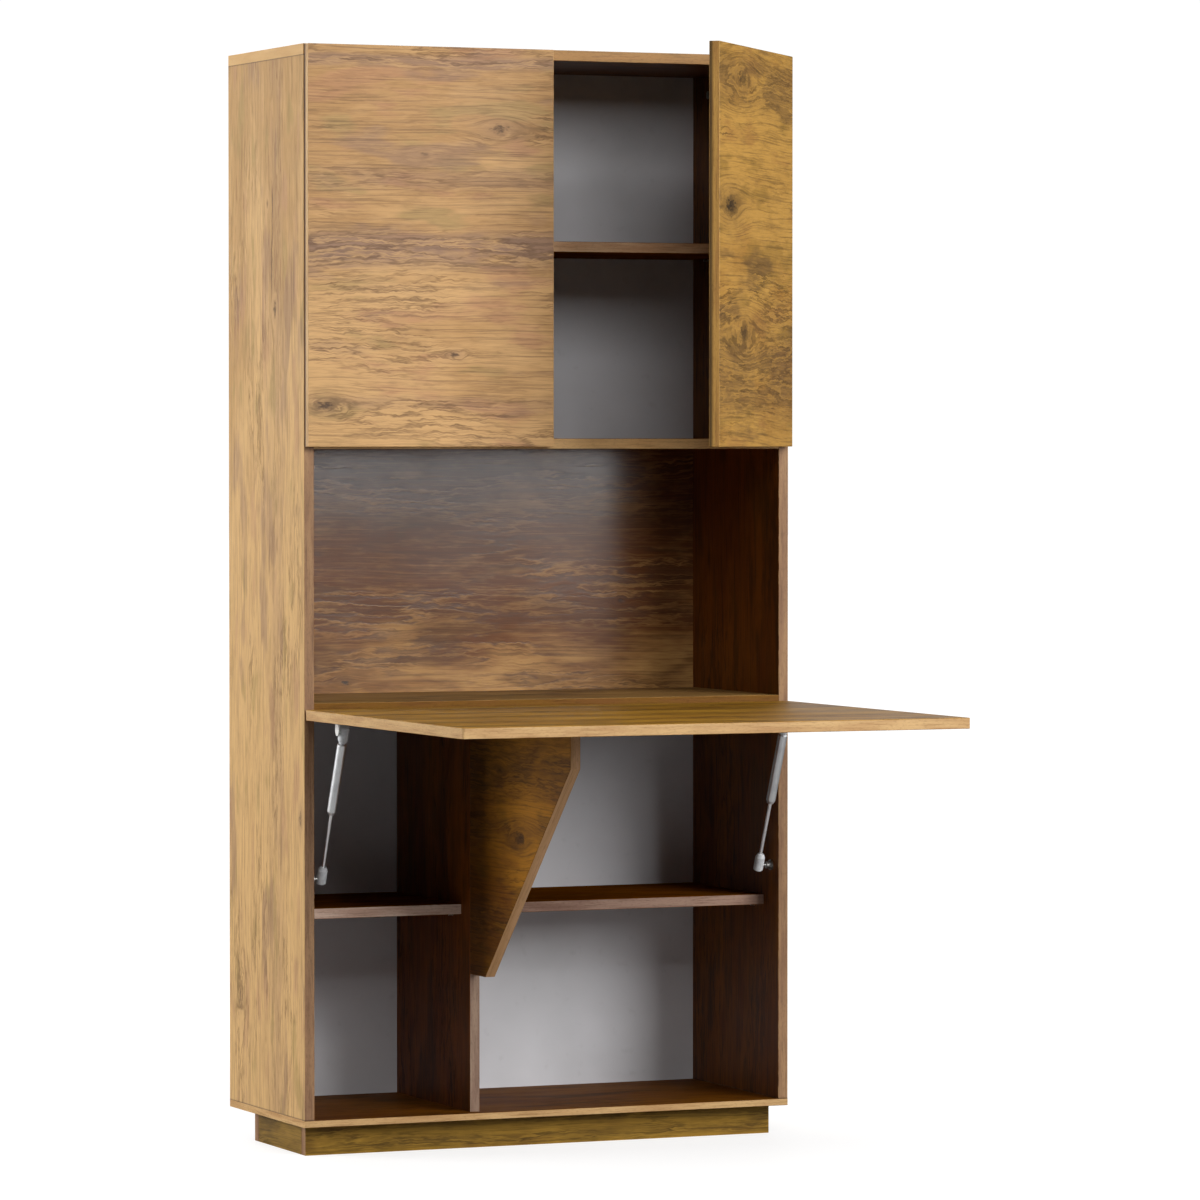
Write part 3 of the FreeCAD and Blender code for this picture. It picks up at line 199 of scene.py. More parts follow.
def printed_wood(place, along, thin, look, seed, knots=(), smoke=(), cleft=None, fade=None):
    """The printed foil: colour, darkness of the figure, and height, along one axis of the board.
    Each knot is a place along and across, a size and a depth; each smoke is a place across, a
    half width and a depth; a cleft is the two ends along and the place across of a long crack;
    fade is the axis and place where the base tone turns to the pale one, and how fast."""
    axes = place.parts()
    across = ({"x", "y", "z"} - {along, thin}).pop()
    u, v, w = (axes[AXES[name]] for name in (along, across, thin))

    def field(coarse, fine, detail, rough=0.5, shift=0.0):
        """Noise whose grain is coarse along the board and fine across it."""
        return place.vector(u * coarse + (seed + shift), v * fine - shift, w * fine).noise(
            detail, rough)

    drift = field(1.5, 4.0, 2.0) - 0.5
    crinkle = field(40.0, 62.0, 2.0, 0.6, 3.0) - 0.5
    speckle = field(90.0, 240.0, 3.0, 0.65) - 0.5
    lively = field(2.6, 9.0, 3.0, 0.5, 1.0).rise(0.50, 0.62)
    ragged = v + drift * 0.03 + crinkle * 0.006
    band = None
    for smoke_v, width, depth in smoke:
        dv = (ragged - smoke_v) / width
        band = larger(band, bell(dv * dv * dv * dv) * depth)
    lively = larger(lively, band)

    line = v + drift * 0.05 + crinkle * (lively * 0.010 + 0.0015)
    core = None
    halo = None
    for knot_u, knot_v, size, depth in knots:
        du = (u - knot_u) / size
        dv = (v - knot_v) / (size * KNOT_SQUASH)
        far = du * du + dv * dv
        line = line - dv * bell(far * 0.10) * (size * 0.5)
        core = larger(core, (bell(far * 0.6) + speckle * 1.8).rise(0.45, 1.05) * depth)
        halo = larger(halo, bell(far * 0.16) * (depth * 0.55))

    streak = place.vector(u * 6.0 + seed, line * 60.0, w * 60.0).noise(4.0, 0.6)

    def vein(level, width):
        """Thin lines where the streaks pass a level."""
        beside = (streak - level) / width
        return bell(beside * beside)

    cracks = vein(0.475, 0.026)
    glints = vein(0.535, 0.028)
    broad = field(2.4, 8.0, 4.0, 0.6, 5.0)
    if fade:
        axis, turn, rate = fade
        broad = broad + (axes[AXES[axis]] - turn) * rate
    patch = field(8.0, 24.0, 3.0, 0.55, 7.0)
    hue = field(6.0, 20.0, 3.0, 0.5, 9.0)
    mottle = field(14.0, 105.0, 4.0, 0.68, 11.0)
    grain = place.vector(u * 4.5 + seed, line * 300.0, w * 300.0).noise(3.0, 0.62)
    fibre = field(26.0, 620.0, 3.0, 0.6, 13.0)
    haze = field(4.0, 15.0, 3.0, 0.55, 15.0).rise(0.56, 0.66) * 0.65
    if smoke:
        haze = larger(haze, band * patch.rise(0.28, 0.52))
    haze = larger(haze, halo)
    calm = lively * 0.42 + 0.14
    dark = cracks * calm

    colour = place.colour(broad.rise(0.36, 0.62), look["base"], look["pale"])
    for share, shade in ((hue.rise(0.56, 0.68) * 0.6, "rose"),
                         (hue.rise(0.44, 0.34) * 0.7, "moss"),
                         (haze, "smoke"),
                         (patch.rise(0.56, 0.72) * 0.35, "pale"),
                         (mottle.rise(0.50, 0.28) * 0.29, "line"),
                         (mottle.rise(0.52, 0.74) * 0.34, "pale"),
                         (grain.rise(0.50, 0.36) * 0.42, "line"),
                         (grain.rise(0.56, 0.68) * 0.30, "pale"),
                         (fibre.rise(0.52, 0.30) * 0.18, "line"),
                         (glints * calm * 0.9, "pale"),
                         (dark, "line")):
        colour = place.colour(share, colour, look[shade])
    if cleft:
        first, last, cleft_v = cleft
        gap = (ragged - cleft_v) / SLIT
        ends = (u.rise(first - 0.03, first + 0.02), u.rise(last + 0.03, last))
        core = larger(core, bell(gap * gap) * ends[0] * ends[1])
    if core is not None:
        colour = place.colour(core, colour, look["heart"])
        dark = larger(dark, core)
    height = mottle * 0.25 + fibre * 0.2 + glints * calm * 0.3 - dark
    return colour, dark, height


def strip_colour(place, facing, along, thin, strip):
    """The strip glued on a board's edges: fine streaks that run the way the edge runs. A fourth
    tone in the strip is for the two ends of the board."""
    axes = place.parts()
    across = ({"x", "y", "z"} - {along, thin}).pop()
    at_end = abs(facing[AXES[along]]).rise(0.5, 0.8)
    u, v, w = (axes[AXES[name]] for name in (along, across, thin))
    length = u + (v - u) * at_end
    wave = place.vector(length * 70.0, w * 50.0, at_end).noise(2.0) - 0.5
    streak = place.vector(length * 14.0, (w + wave * 0.0025) * 340.0, at_end).noise(4.0, 0.65)
    patch = place.vector(length * 7.0, w * 60.0, at_end).noise(4.0, 0.6)
    speck = place.vector(length * 130.0, w * 420.0, at_end).noise(2.0, 0.6)
    pale, rose, line = strip[:3]
    colour = place.colour(patch.rise(0.36, 0.68), pale, rose)
    colour = place.colour(streak.rise(0.50, 0.34) * 0.38, colour, line)
    colour = place.colour(speck.rise(0.48, 0.34) * 0.22, colour, line)
    if len(strip) > 3:
        colour = place.colour(at_end, colour, place.colour(patch, strip[3], pale))
    return colour


def edge_distance(place, corners, thin):
    """How far a place is from the nearest long border of the board's face, in metres."""
    low, high = corners
    nearest, *others = (gap for index, axis in enumerate(place.parts()) if index != AXES[thin]
                        for gap in (axis - low[index], high[index] - axis))
    for gap in others:
        nearest = nearest.maths("MINIMUM", nearest, gap)
    return nearest


def timber(name, along, thin, look=SUNNY, seed=0.0, hidden=None, corners=None, turned=None,
           rough=0.50, strip=PALE_STRIP, seam=False, joints=(), shine=0.20, relief=0.35,
           **figure):
    """Foil-faced board. Grain runs along one axis and the board is thin along another; the face
    that looks the way given for the inside is painted deep brown as painted shade, and turned is
    the pin and angle of a swung door. A seam darkens the back rim of the edges with a dark glue
    line and painted shade, and each joint is a dark line across an axis."""
    material, surface, place = new_finish(name, Specular_IOR_Level=shine)
    normal = place.node("ShaderNodeTexCoord", out="Normal")
    if turned:
        pin, angle = turned
        spin = {"rotation_type": "AXIS_ANGLE"}
        swing = {"Axis": (0.0, 0.0, 1.0), "Angle": -angle}
        place = place.node("ShaderNodeVectorRotate", spin, {"Vector": place, "Center": pin} | swing)
        normal = place.node("ShaderNodeVectorRotate", spin,
                            {"Vector": normal, "Center": (0.0, 0.0, 0.0)} | swing)
    colour, dark, height = printed_wood(place, along, thin, look, seed, **figure)
    sides = normal.parts()
    facing = sides[AXES[thin]]
    # The inside face is painted in the deep brown tones: painted shade.
    if hidden:
        painted_shade, _, _ = printed_wood(place, along, thin, DEEP_SHADE, seed + SHADE_SHIFT)
        colour = place.colour((facing * hidden).rise(0.3, 0.7), colour, painted_shade)
    if corners:
        scuff = place.noise(4.0, scale=38.0)
        wear = edge_distance(place, corners, thin).rise(*WORN_RIM)
        colour = place.colour(wear * scuff.rise(0.40, 0.62) * 0.5, colour, look["pale"])
    if strip:
        narrow = abs(facing).rise(0.7, 0.3)
        banding = strip_colour(place, sides, along, thin, strip)
        # A dark glue line and painted shade of the gap behind darken the back rim of the strip.
        if seam:
            depth = abs(place.parts()[AXES[thin]] - corners[1][AXES[thin]])
            banding = place.colour(depth.rise(*SEAM_SHADE_RIM) * 0.85, banding, look["heart"])
        colour = place.colour(narrow, colour, banding)
    for axis, where in joints:
        gap = (place.parts()[AXES[axis]] - where) / SLIT
        colour = place.colour(bell(gap * gap) * 0.8, colour, look["heart"])
    smudge = place.noise(3.0, scale=7.0)
    feed(surface, Base_Color=colour, Roughness=dark * 0.10 + smudge * 0.14 + (rough - 0.10),
         Normal=height.bump(relief, FOIL_DEPTH))
    return material


def wooden(node, along, thin, **choices):
    """Makes and applies the finish of one straight board from its own box."""
    dress(node, timber(node, along, thin, corners=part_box(node), **choices))


# The inside face of each outer rail is painted in the deep brown tones: painted shade.
PLINTH_RAILS = [
    ("front", "x", "y", {"hidden": 1.0, "smoke": [(0.016, 0.010, 0.6), (0.046, 0.006, 0.5)]}),
    ("back", "x", "y", {"hidden": -1.0}),
    # The left rail takes the plinth tones darker than the front rail's: painted shade of the side.
    ("left", "y", "x", {"hidden": 1.0, "look": deeper(MUSTARD, 0.7, 0.72, 0.98)}),
    ("right", "y", "x", {"hidden": -1.0}),
    ("cross", "y", "x", {}),
]
for number, (rail, along, thin, own) in enumerate(PLINTH_RAILS, 1):
    choices = {"look": MUSTARD, "seed": float(number), "strip": DULL_STRIP, "shine": 0.1} | own
    wooden(f"plinth_{rail}_rail", along, thin, **choices)
dress("plinth_corner_blocks", timber("corner_blocks", "z", "x", seed=6.0, strip=None, rough=0.7))


# ---- Carcass ------------------------------------------------------------------------------------
# Base, sides, top, the boards above and below the niche, and the divider: 18 mm foil-faced board
# with grain along its length. The faces towards the room are pale; those inside are painted deep
# brown as painted shade.

OLIVE = {
    "base": tone(132, 98, 54), "pale": tone(162, 124, 72), "rose": tone(118, 82, 48),
    "moss": tone(120, 94, 48), "smoke": tone(78, 54, 32), "line": tone(42, 26, 12),
    "heart": tone(24, 12, 5),
}
BROWN_STRIP = (tone(163, 122, 70), tone(172, 127, 75), tone(76, 52, 28), tone(210, 172, 116))
AMBER_STRIP = (tone(206, 168, 116), tone(188, 148, 98), tone(120, 86, 50))
TOFFEE_STRIP = (tone(116, 80, 30), tone(112, 74, 36), tone(60, 38, 14))
DARK_STRIP = (tone(146, 122, 103), tone(122, 96, 81), tone(80, 57, 44))
LEFT_SIDE_KNOTS = [(1.435, -0.026, 0.016, 0.8), (0.573, -0.147, 0.014, 0.7),
                   (1.616, 0.009, 0.010, 0.5), (0.244, 0.149, 0.022, 0.4),
                   (0.869, 0.098, 0.012, 0.3)]
RIGHT_SIDE_KNOTS = [(0.62, 0.03, 0.018, 0.7), (1.40, -0.05, 0.012, 0.6)]
SIDE_JOINTS = [("z", corner.z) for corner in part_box("left_side_panel")]

wooden("left_side_panel", "z", "x", look=deeper(SUNNY, 0.95, 0.94, 0.90), seed=7.0,
       knots=LEFT_SIDE_KNOTS, cleft=(1.46, 1.63, -0.012), smoke=[(-0.034, 0.034, 0.35)],
       fade=("z", 1.3, -0.35), hidden=1.0, strip=DULL_STRIP, joints=SIDE_JOINTS, shine=0.15)
wooden("right_side_panel", "z", "x", seed=8.0, knots=RIGHT_SIDE_KNOTS, hidden=-1.0,
       strip=DULL_STRIP, joints=SIDE_JOINTS, shine=0.15)
# The base, the cupboard floor and the divider take the deep brown inside tones as painted shade;
# the base is taken darker still.
wooden("base_panel", "x", "z", look=deeper(DEEP_SHADE, 0.74, 0.8, 0.78), seed=9.0, shine=0.04,
       rough=0.62)
wooden("top_panel", "x", "z", seed=10.0, hidden=-1.0, strip=BROWN_STRIP)
wooden("cabinet_floor", "x", "z", look=DEEP_SHADE, seed=11.0, strip=AMBER_STRIP, shine=0.15)
wooden("desk_shelf", "x", "z", look=OLIVE, seed=12.0, hidden=-1.0, strip=TOFFEE_STRIP,
       shine=0.05, rough=0.62)
wooden("lower_divider", "z", "x", look=deeper(DEEP_SHADE, 1.1, 0.95, 0.65), seed=13.0,
       strip=DARK_STRIP, shine=0.15)


# ---- Shelves ------------------------------------------------------------------------------------
# Loose shelves of the same board, each on four steel pegs, with a glued strip on the front edge.

SHELF_STRIPS = {
    "upper_shelf": (tone(190, 157, 124), tone(168, 130, 98), tone(108, 78, 54)),
    "lower_left_shelf": (tone(216, 192, 174), tone(188, 156, 138), tone(126, 96, 80)),
    "lower_right_shelf": (tone(156, 128, 112), tone(132, 103, 89), tone(86, 60, 46)),
}
# The shelves take the deep brown inside tones: painted shade.
for number, (shelf, strip) in enumerate(SHELF_STRIPS.items(), 14):
    wooden(shelf, "x", "z", look=DEEP_SHADE, seed=float(number), shine=0.0, strip=strip)


# ---- Backs --------------------------------------------------------------------------------------
# Three thin boards slid into grooves. The one behind the niche has the wood foil and a gloss that
# mirrors the room; the others are plain pale grey, smooth inside and raw fibre behind.

# Dark tones for the niche back, taken darker than the room faces: painted shade of the niche.
NICHE = {
    "base": tone(98, 56, 24), "pale": tone(170, 128, 76), "rose": tone(103, 60, 30),
    "moss": tone(94, 60, 28), "smoke": tone(88, 57, 35), "line": tone(68, 41, 22),
    "heart": tone(24, 13, 5),
}


def towards_wall(place):
    """1 on the face of a back that looks at the wall, 0 on the one that looks at the room."""
    return place.node("ShaderNodeTexCoord", out="Normal").parts()[AXES["y"]].rise(0.3, 0.7)


def raw_fibre(place):
    """The bare brown fibre of the wall side, and its height."""
    fleck = place.noise(3.0, scale=420.0)
    cloud = place.noise(4.0, scale=14.0)
    colour = place.colour(fleck.rise(0.35, 0.65), tone(126, 94, 64), tone(158, 124, 88))
    return place.colour(cloud.rise(0.45, 0.75) * 0.2, colour, tone(112, 82, 54)), fleck


def niche_back():
    """The foil-faced back of the niche, semi-gloss in front and left raw on the wall side."""
    # Its fade makes the back paler low down and darker at the top under the board above: painted
    # light and shade.
    material = timber("niche_back", "x", "y", look=NICHE, seed=17.0,
                      knots=[(-0.236, 0.788, 0.010, 0.9), (0.289, 0.928, 0.008, 0.5)],
                      smoke=[(0.902, 0.020, 0.5), (1.092, 0.014, 0.4)],
                      fade=("z", 0.84, -2.2), rough=0.20, strip=None, shine=0.34, relief=0.10)
    surface = material.node_tree.nodes["Principled BSDF"]
    foil = Wire(material.node_tree, surface.inputs["Base Color"].links[0].from_socket)
    fibre, _ = raw_fibre(foil.node("ShaderNodeTexCoord", out="Object"))
    feed(surface, Base_Color=foil.colour(towards_wall(foil), foil, fibre))
    return material


def primed_back():
    """A thin board, white-primed on the inside and bare brown fibre on the wall side."""
    material, surface, place = new_finish("primed_backing")
    cloud = place.noise(4.0, scale=3.0)
    dust = place.noise(6.0, scale=45.0)
    primed = place.colour(cloud.rise(0.35, 0.70) * 0.5, tone(216, 216, 220), tone(176, 176, 178))
    primed = place.colour(dust.rise(0.60, 0.78) * 0.15, primed, tone(150, 148, 146))
    fibre, fleck = raw_fibre(place)
    behind = towards_wall(place)
    feed(surface, Base_Color=place.colour(behind, primed, fibre),
         Roughness=behind * 0.25 + cloud * 0.12 + 0.42,
         Normal=(fleck + behind * fleck).bump(0.15, 0.0003))
    return material


PRIMED = primed_back()
dress("niche_back_panel", niche_back())
dress("upper_back_panel", PRIMED)
dress("lower_back_panel", PRIMED)


# ---- Hidden fittings ----------------------------------------------------------------------------
# Zinc cams and bolts draw the boards together, panel screws hold the base, turned steel pegs carry
# the shelves, and pressed steel angles, hinge leaves, cups and arms hold what swings.

def cast_zinc():
    """Die-cast zinc: dull, slightly grainy, brighter where a driver has turned it."""
    material, surface, place = new_finish("cast_zinc", Metallic=1.0)
    grain = place.noise(2.0, scale=900.0)
    cloud = place.noise(3.0, scale=120.0)
    feed(surface, Roughness=grain * 0.2 + 0.36, Normal=grain.bump(0.3, 0.0001),
         Base_Color=place.colour(cloud.rise(0.35, 0.65), tone(150, 150, 148), tone(186, 186, 182)))
    return material


def plated_steel(name, bright, dull, rough):
    """Nickel-plated pressed steel with fine polishing marks and a little tarnish."""
    material, surface, place = new_finish(name, Metallic=1.0)
    x, y, z = place.parts()
    marks = place.vector(x * 300.0, y * 300.0, z * 2600.0).noise(2.0)
    stain = place.noise(5.0, scale=60.0)
    feed(surface, Base_Color=place.colour(stain.rise(0.42, 0.70), bright, dull),
         Roughness=marks * 0.12 + stain * 0.14 + rough, Normal=marks.bump(0.2, 0.00005))
    return material


ZINC = cast_zinc()
NICKEL = plated_steel("nickel", tone(206, 206, 202), tone(168, 164, 156), 0.16)
for part in ("cam_locks", "cam_bolts", "base_screws", "left_strut_wall_stud",
             "right_strut_wall_stud"):
    dress(part, ZINC)
for part in ("shelf_pins", "wall_ties", "divider_hinge_leaves", "bracket_hinge_leaves",
             "bracket_hinge_pins"):
    dress(part, NICKEL)
for hung in ("flap", "left_door", "right_door"):
    dress(f"{hung}_hinge_arms", NICKEL)
    dress(f"{hung}_hinge_cups", NICKEL)


# ---- Doors --------------------------------------------------------------------------------------
# Two plain overlay doors of the same board with the grain across, hung on cup hinges and opened by
# push latches. The right one stands half open.

HONEY = {
    "base": tone(170, 128, 76), "pale": tone(196, 154, 100), "rose": tone(170, 120, 84),
    "moss": tone(152, 124, 72), "smoke": tone(134, 102, 80), "line": tone(88, 60, 34),
    "heart": tone(62, 44, 32),
}
AMBER = {
    "base": tone(152, 108, 45), "pale": tone(182, 138, 66), "rose": tone(144, 100, 50),
    "moss": tone(140, 106, 44), "smoke": tone(102, 74, 40), "line": tone(58, 38, 14),
    "heart": tone(40, 28, 12),
}
GOLD_STRIP = (tone(168, 128, 66), tone(146, 106, 56), tone(84, 58, 28))
DOOR_PIN_X = 0.4428
DOOR_PIN_Y = -0.179
RIGHT_OPENING = math.radians(49)
LEFT_DOOR_KNOTS = [(-0.101, 1.742, 0.017, 0.75), (-0.184, 1.358, 0.008, 0.8),
                   (-0.420, 1.272, 0.016, 0.85), (-0.239, 1.697, 0.007, 0.4)]
RIGHT_DOOR_KNOTS = [(DOOR_PIN_X - from_pin, z, size, depth) for from_pin, z, size, depth in
                    ((0.375, 1.607, 0.034, 0.95), (0.300, 1.822, 0.030, 0.6),
                     (0.288, 1.392, 0.034, 0.5))]

wooden("left_door", "x", "y", look=HONEY, seed=18.0, knots=LEFT_DOOR_KNOTS,
       smoke=[(1.534, 0.030, 0.95), (1.850, 0.012, 0.8), (1.655, 0.020, 0.45),
              (1.275, 0.012, 0.35)],
       fade=("z", 1.58, -0.5), seam=True, shine=0.22)

left_low, left_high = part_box("left_door")
shut = (Vector((-left_high.x, left_low.y, left_low.z)),
        Vector((-left_low.x, left_high.y, left_high.z)))
dress("right_door", timber("right_door", "x", "y", look=AMBER, seed=19.0, knots=RIGHT_DOOR_KNOTS,
                           smoke=[(1.815, 0.045, 0.7), (1.335, 0.085, 0.7)],
                           fade=("z", 1.45, 0.35), seam=True, strip=GOLD_STRIP, corners=shut,
                           turned=((DOOR_PIN_X, DOOR_PIN_Y, 0.0), RIGHT_OPENING)))


# ---- Desk flap ----------------------------------------------------------------------------------
# The writing flap: one board with rounded front corners and a strip on every edge, hung on three
# cup hinges under the desk shelf.

TOFFEE = {
    "base": tone(146, 102, 28), "pale": tone(174, 128, 42), "rose": tone(134, 88, 30),
    "moss": tone(132, 96, 26), "smoke": tone(72, 46, 14), "line": tone(60, 38, 12),
    "heart": tone(40, 26, 8),
}
wooden("desk_flap", "x", "z", look=TOFFEE, seed=20.0, hidden=-1.0, shine=0.12,
       smoke=[(-0.26, 0.03, 0.5), (-0.40, 0.03, 0.7), (-0.55, 0.04, 0.6), (-0.70, 0.03, 0.6),
              (-0.82, 0.02, 0.7)],
       knots=[(-0.115, -0.395, 0.014, 0.7), (0.318, -0.334, 0.010, 0.5)])


# ---- Bracket board ------------------------------------------------------------------------------
# A tapered board that swings out under the flap on two butt hinges, with a strip of felt on top.

TREACLE = {
    "base": tone(103, 60, 13), "pale": tone(143, 94, 20), "rose": tone(105, 61, 18),
    "moss": tone(103, 69, 13), "smoke": tone(62, 36, 14), "line": tone(32, 17, 5),
    "heart": tone(22, 11, 4),
}
BISCUIT_STRIP = (tone(183, 143, 104), tone(170, 130, 88), tone(104, 74, 50))
# Its fade takes the rear of the board, under the flap and inside the carcass, to the darker base
# tone: painted shade.
wooden("support_bracket", "y", "x", look=TREACLE, seed=21.0, shine=0.15, strip=BISCUIT_STRIP,
       fade=("y", -0.27, -1.3),
       smoke=[(0.66, 0.05, 0.6), (0.565, 0.02, 0.5), (0.40, 0.03, 0.4)],
       knots=[(-0.368, 0.544, 0.024, 0.7), (-0.280, 0.657, 0.012, 0.5)])


def felt():
    """Pressed wool felt: short tangled fibres with a soft sheen."""
    material, surface, place = new_finish("felt", Sheen_Weight=0.5, Sheen_Roughness=0.4)
    fibre = place.noise(4.0, scale=1600.0, swirl=1.5)
    feed(surface, Base_Color=place.colour(fibre.rise(0.3, 0.7), tone(52, 46, 42), tone(92, 84, 76)),
         Roughness=fibre * 0.1 + 0.86, Normal=fibre.bump(0.6, 0.0003))
    return material


dress("bracket_pad", felt())


# ---- Gas struts and latches ---------------------------------------------------------------------
# At each end of the flap: a bright piston rod in a grey satin tube, moulded nylon sockets on both
# ends, a turned ball stud on the side board and a white bent plate under the flap. The push
# latches of the doors are moulded from the same nylon.

def powder_coat():
    """White powder coat on steel: faint orange peel, soft dirt and a few rubbed spots."""
    material, surface, place = new_finish("white_powder_coat", Coat_Roughness=0.2)
    peel = place.noise(1.0, scale=520.0)
    dirt = place.noise(6.0, scale=70.0)
    worn = dirt.rise(0.50, 0.76) * 0.5
    feed(surface, Base_Color=place.colour(worn, tone(232, 232, 228), tone(190, 188, 182)),
         Roughness=dirt * 0.25 + 0.24, Normal=peel.bump(0.12, 0.0002),
         Coat_Weight=dirt.rise(0.7, 0.4) * 0.4)
    return material


def nylon():
    """Moulded grey nylon with a fine spark-eroded texture."""
    material, surface, place = new_finish("nylon")
    spark = place.noise(2.0, scale=1500.0)
    flow = place.noise(3.0, scale=90.0)
    feed(surface, Roughness=spark * 0.15 + 0.42, Normal=spark.bump(0.25, 0.0001),
         Base_Color=place.colour(flow.rise(0.35, 0.7), tone(204, 206, 208), tone(176, 178, 182)))
    return material


NYLON = nylon()
STRUT_FINISHES = {
    "strut_cylinder": plated_steel("satin_tube", tone(228, 230, 232), tone(214, 216, 219), 0.26),
    "strut_rod": plated_steel("polished_rod", tone(246, 246, 248), tone(226, 226, 228), 0.20),
    "strut_flap_bracket": powder_coat(),
    "strut_lower_socket": NYLON,
    "strut_upper_socket": NYLON,
    "latch_plunger": NYLON,
}
for side in ("left", "right"):
    for part, finish in STRUT_FINISHES.items():
        dress(f"{side}_{part}", finish)
dress("latch_sleeves", NYLON)


# ---- Screws -------------------------------------------------------------------------------------
# Cross-recessed steel screws with low pan heads hold the hinge cups, arms and leaves and the plates
# of the struts; a second pair on each arm sets the gap of its door or flap.

RING = 24
PAN = [(1.0, 0.0), (1.0, 0.14), (0.94, 0.28), (0.76, 0.38)]
RECESS = [(1.0, 0.42), (0.75, 0.08)]
RECESS_FLOOR = 0.02
RECESS_REACH = 0.56
RECESS_HALF = 0.15
TURN = 37
HEADS = {"plate": 0.0035, "cup": 0.0034, "arm": 0.0028, "cross": 0.0026, "leaf": 0.0031}
UPWARD = Vector((0, 0, 1))
DOWNWARD = Vector((0, 0, -1))
BACKWARD = Vector((0, 1, 0))
INWARD = {"left": Vector((1, 0, 0)), "right": Vector((-1, 0, 0))}

# Places on a hinge, counted from its pin.
CUP_FACE, CUP_INSET, CUP_SPREAD = 0.012, 0.0165, 0.0215
PLATE_FACE, PLATE_BACK, PLATE_SPREAD = 0.0122, 0.050, 0.016
CROSS_BACK, CROSS_SPREAD = 0.041, 0.0078
ARM_FACE, ARM_BACKS = 0.0152, (0.029, 0.053)
DOOR_HINGE_LEVELS = (1.302, 1.779)
FLAP_HINGE_PLACES = (-0.340, -0.182, 0.355)
FLAP_PIN_Z = 0.752

STRUT_PLATE, STRUT_SPREAD = 0.002, 0.0185
LEAF_FACE_X = -0.1205
LEAF_FEET, LEAF_HALF, LEAF_STEP, LEAF_STAGGER = (0.3355, 0.6535), 0.025, 0.017, 0.004
DIVIDER_LEAF_Y, BRACKET_LEAF_Y = -0.1300, -0.1586


def screw_head(mesh, place, out, radius, turn):
    """A pan head that stands on a face, with a cross sunk into it at a turn in degrees."""
    first = Matrix.Rotation(math.radians(turn), 3, out) @ out.orthogonal().normalized()
    second = out.cross(first)
    arm, half = radius * RECESS_REACH, radius * RECESS_HALF
    knee = (arm + half) / 2
    quarter = [(arm, 0), (arm, half), (knee, half), (half, half), (half, knee), (half, arm)]
    cross = []
    for _ in range(4):
        cross += quarter
        quarter = [(-b, a) for a, b in quarter]
    disc = [(math.cos(math.tau * step / RING), math.sin(math.tau * step / RING))
            for step in range(RING)]
    rings = [(disc, radius * share, height) for share, height in PAN]
    rings += [(cross, share, height) for share, height in RECESS]
    last = None
    for outline, scale, height in rings:
        ring = [mesh.verts.new(place + first * (a * scale) + second * (b * scale)
                               + out * (height * radius)) for a, b in outline]
        if last:
            for step in range(RING):
                after = (step + 1) % RING
                side = mesh.faces.new((last[step], last[after], ring[after], ring[step]))
                side.smooth = outline is disc
        last = ring
    bottom = mesh.verts.new(place + out * (RECESS_FLOOR * radius))
    for step in range(RING):
        mesh.faces.new((last[step], last[(step + 1) % RING], bottom))


def screws(name, body, rows):
    """One set of screws that moves with a body; a row is a place, the way out and a head."""
    mesh = bmesh.new()
    for number, (place, out, head) in enumerate(rows):
        screw_head(mesh, place, out, HEADS[head], TURN * number % 90)
    made = bpy.data.meshes.new(name)
    mesh.to_mesh(made)
    mesh.free()
    made.materials.append(SCREW_STEEL)
    piece = bpy.data.objects.new(name, made)
    bpy.context.scene.collection.objects.link(piece)
    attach(piece, body)


SCREW_STEEL = plated_steel("screw_steel", tone(216, 215, 208), tone(160, 156, 146), 0.18)
on_cabinet = []
for side, inward in INWARD.items():
    pin = Vector((-DOOR_PIN_X * inward.x, DOOR_PIN_Y, 0.0))
    cups = []
    for level in DOOR_HINGE_LEVELS:
        hinge = pin + UPWARD * level
        for step in (-1, 1):
            on_cabinet.append((hinge + inward * PLATE_FACE + BACKWARD * PLATE_BACK
                               + UPWARD * (PLATE_SPREAD * step), inward, "plate"))
            cups.append((hinge + inward * CUP_INSET + BACKWARD * CUP_FACE
                         + UPWARD * (CUP_SPREAD * step), BACKWARD, "cup"))
        for back in ARM_BACKS:
            on_cabinet.append((hinge + inward * ARM_FACE + BACKWARD * back, inward, "arm"))
    if side == "right":
        swing = Matrix.Rotation(RIGHT_OPENING, 3, "Z")
        cups = [(pin + swing @ (place - pin), swing @ out, head) for place, out, head in cups]
    screws(f"{side}_door_screws", f"{side}_door_leaf", cups)

under_flap = []
for x in FLAP_HINGE_PLACES:
    hinge = Vector((x, DOOR_PIN_Y, FLAP_PIN_Z))
    for step in (-1, 1):
        across = Vector((step, 0, 0))
        under_flap.append((hinge + DOWNWARD * CUP_FACE - BACKWARD * CUP_INSET
                           + across * CUP_SPREAD, DOWNWARD, "cup"))
        on_cabinet.append((hinge + DOWNWARD * PLATE_FACE + BACKWARD * CROSS_BACK
                           + across * CROSS_SPREAD, DOWNWARD, "cross"))
    for back in ARM_BACKS:
        on_cabinet.append((hinge + DOWNWARD * ARM_FACE + BACKWARD * back, DOWNWARD, "arm"))
for side in INWARD:
    low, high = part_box(f"{side}_strut_flap_bracket")
    middle = (low + high) / 2
    for step in (-1, 1):
        under_flap.append((Vector((middle.x, middle.y + STRUT_SPREAD * step,
                                   high.z - STRUT_PLATE)), DOWNWARD, "cup"))
screws("flap_screws", "flap", under_flap)

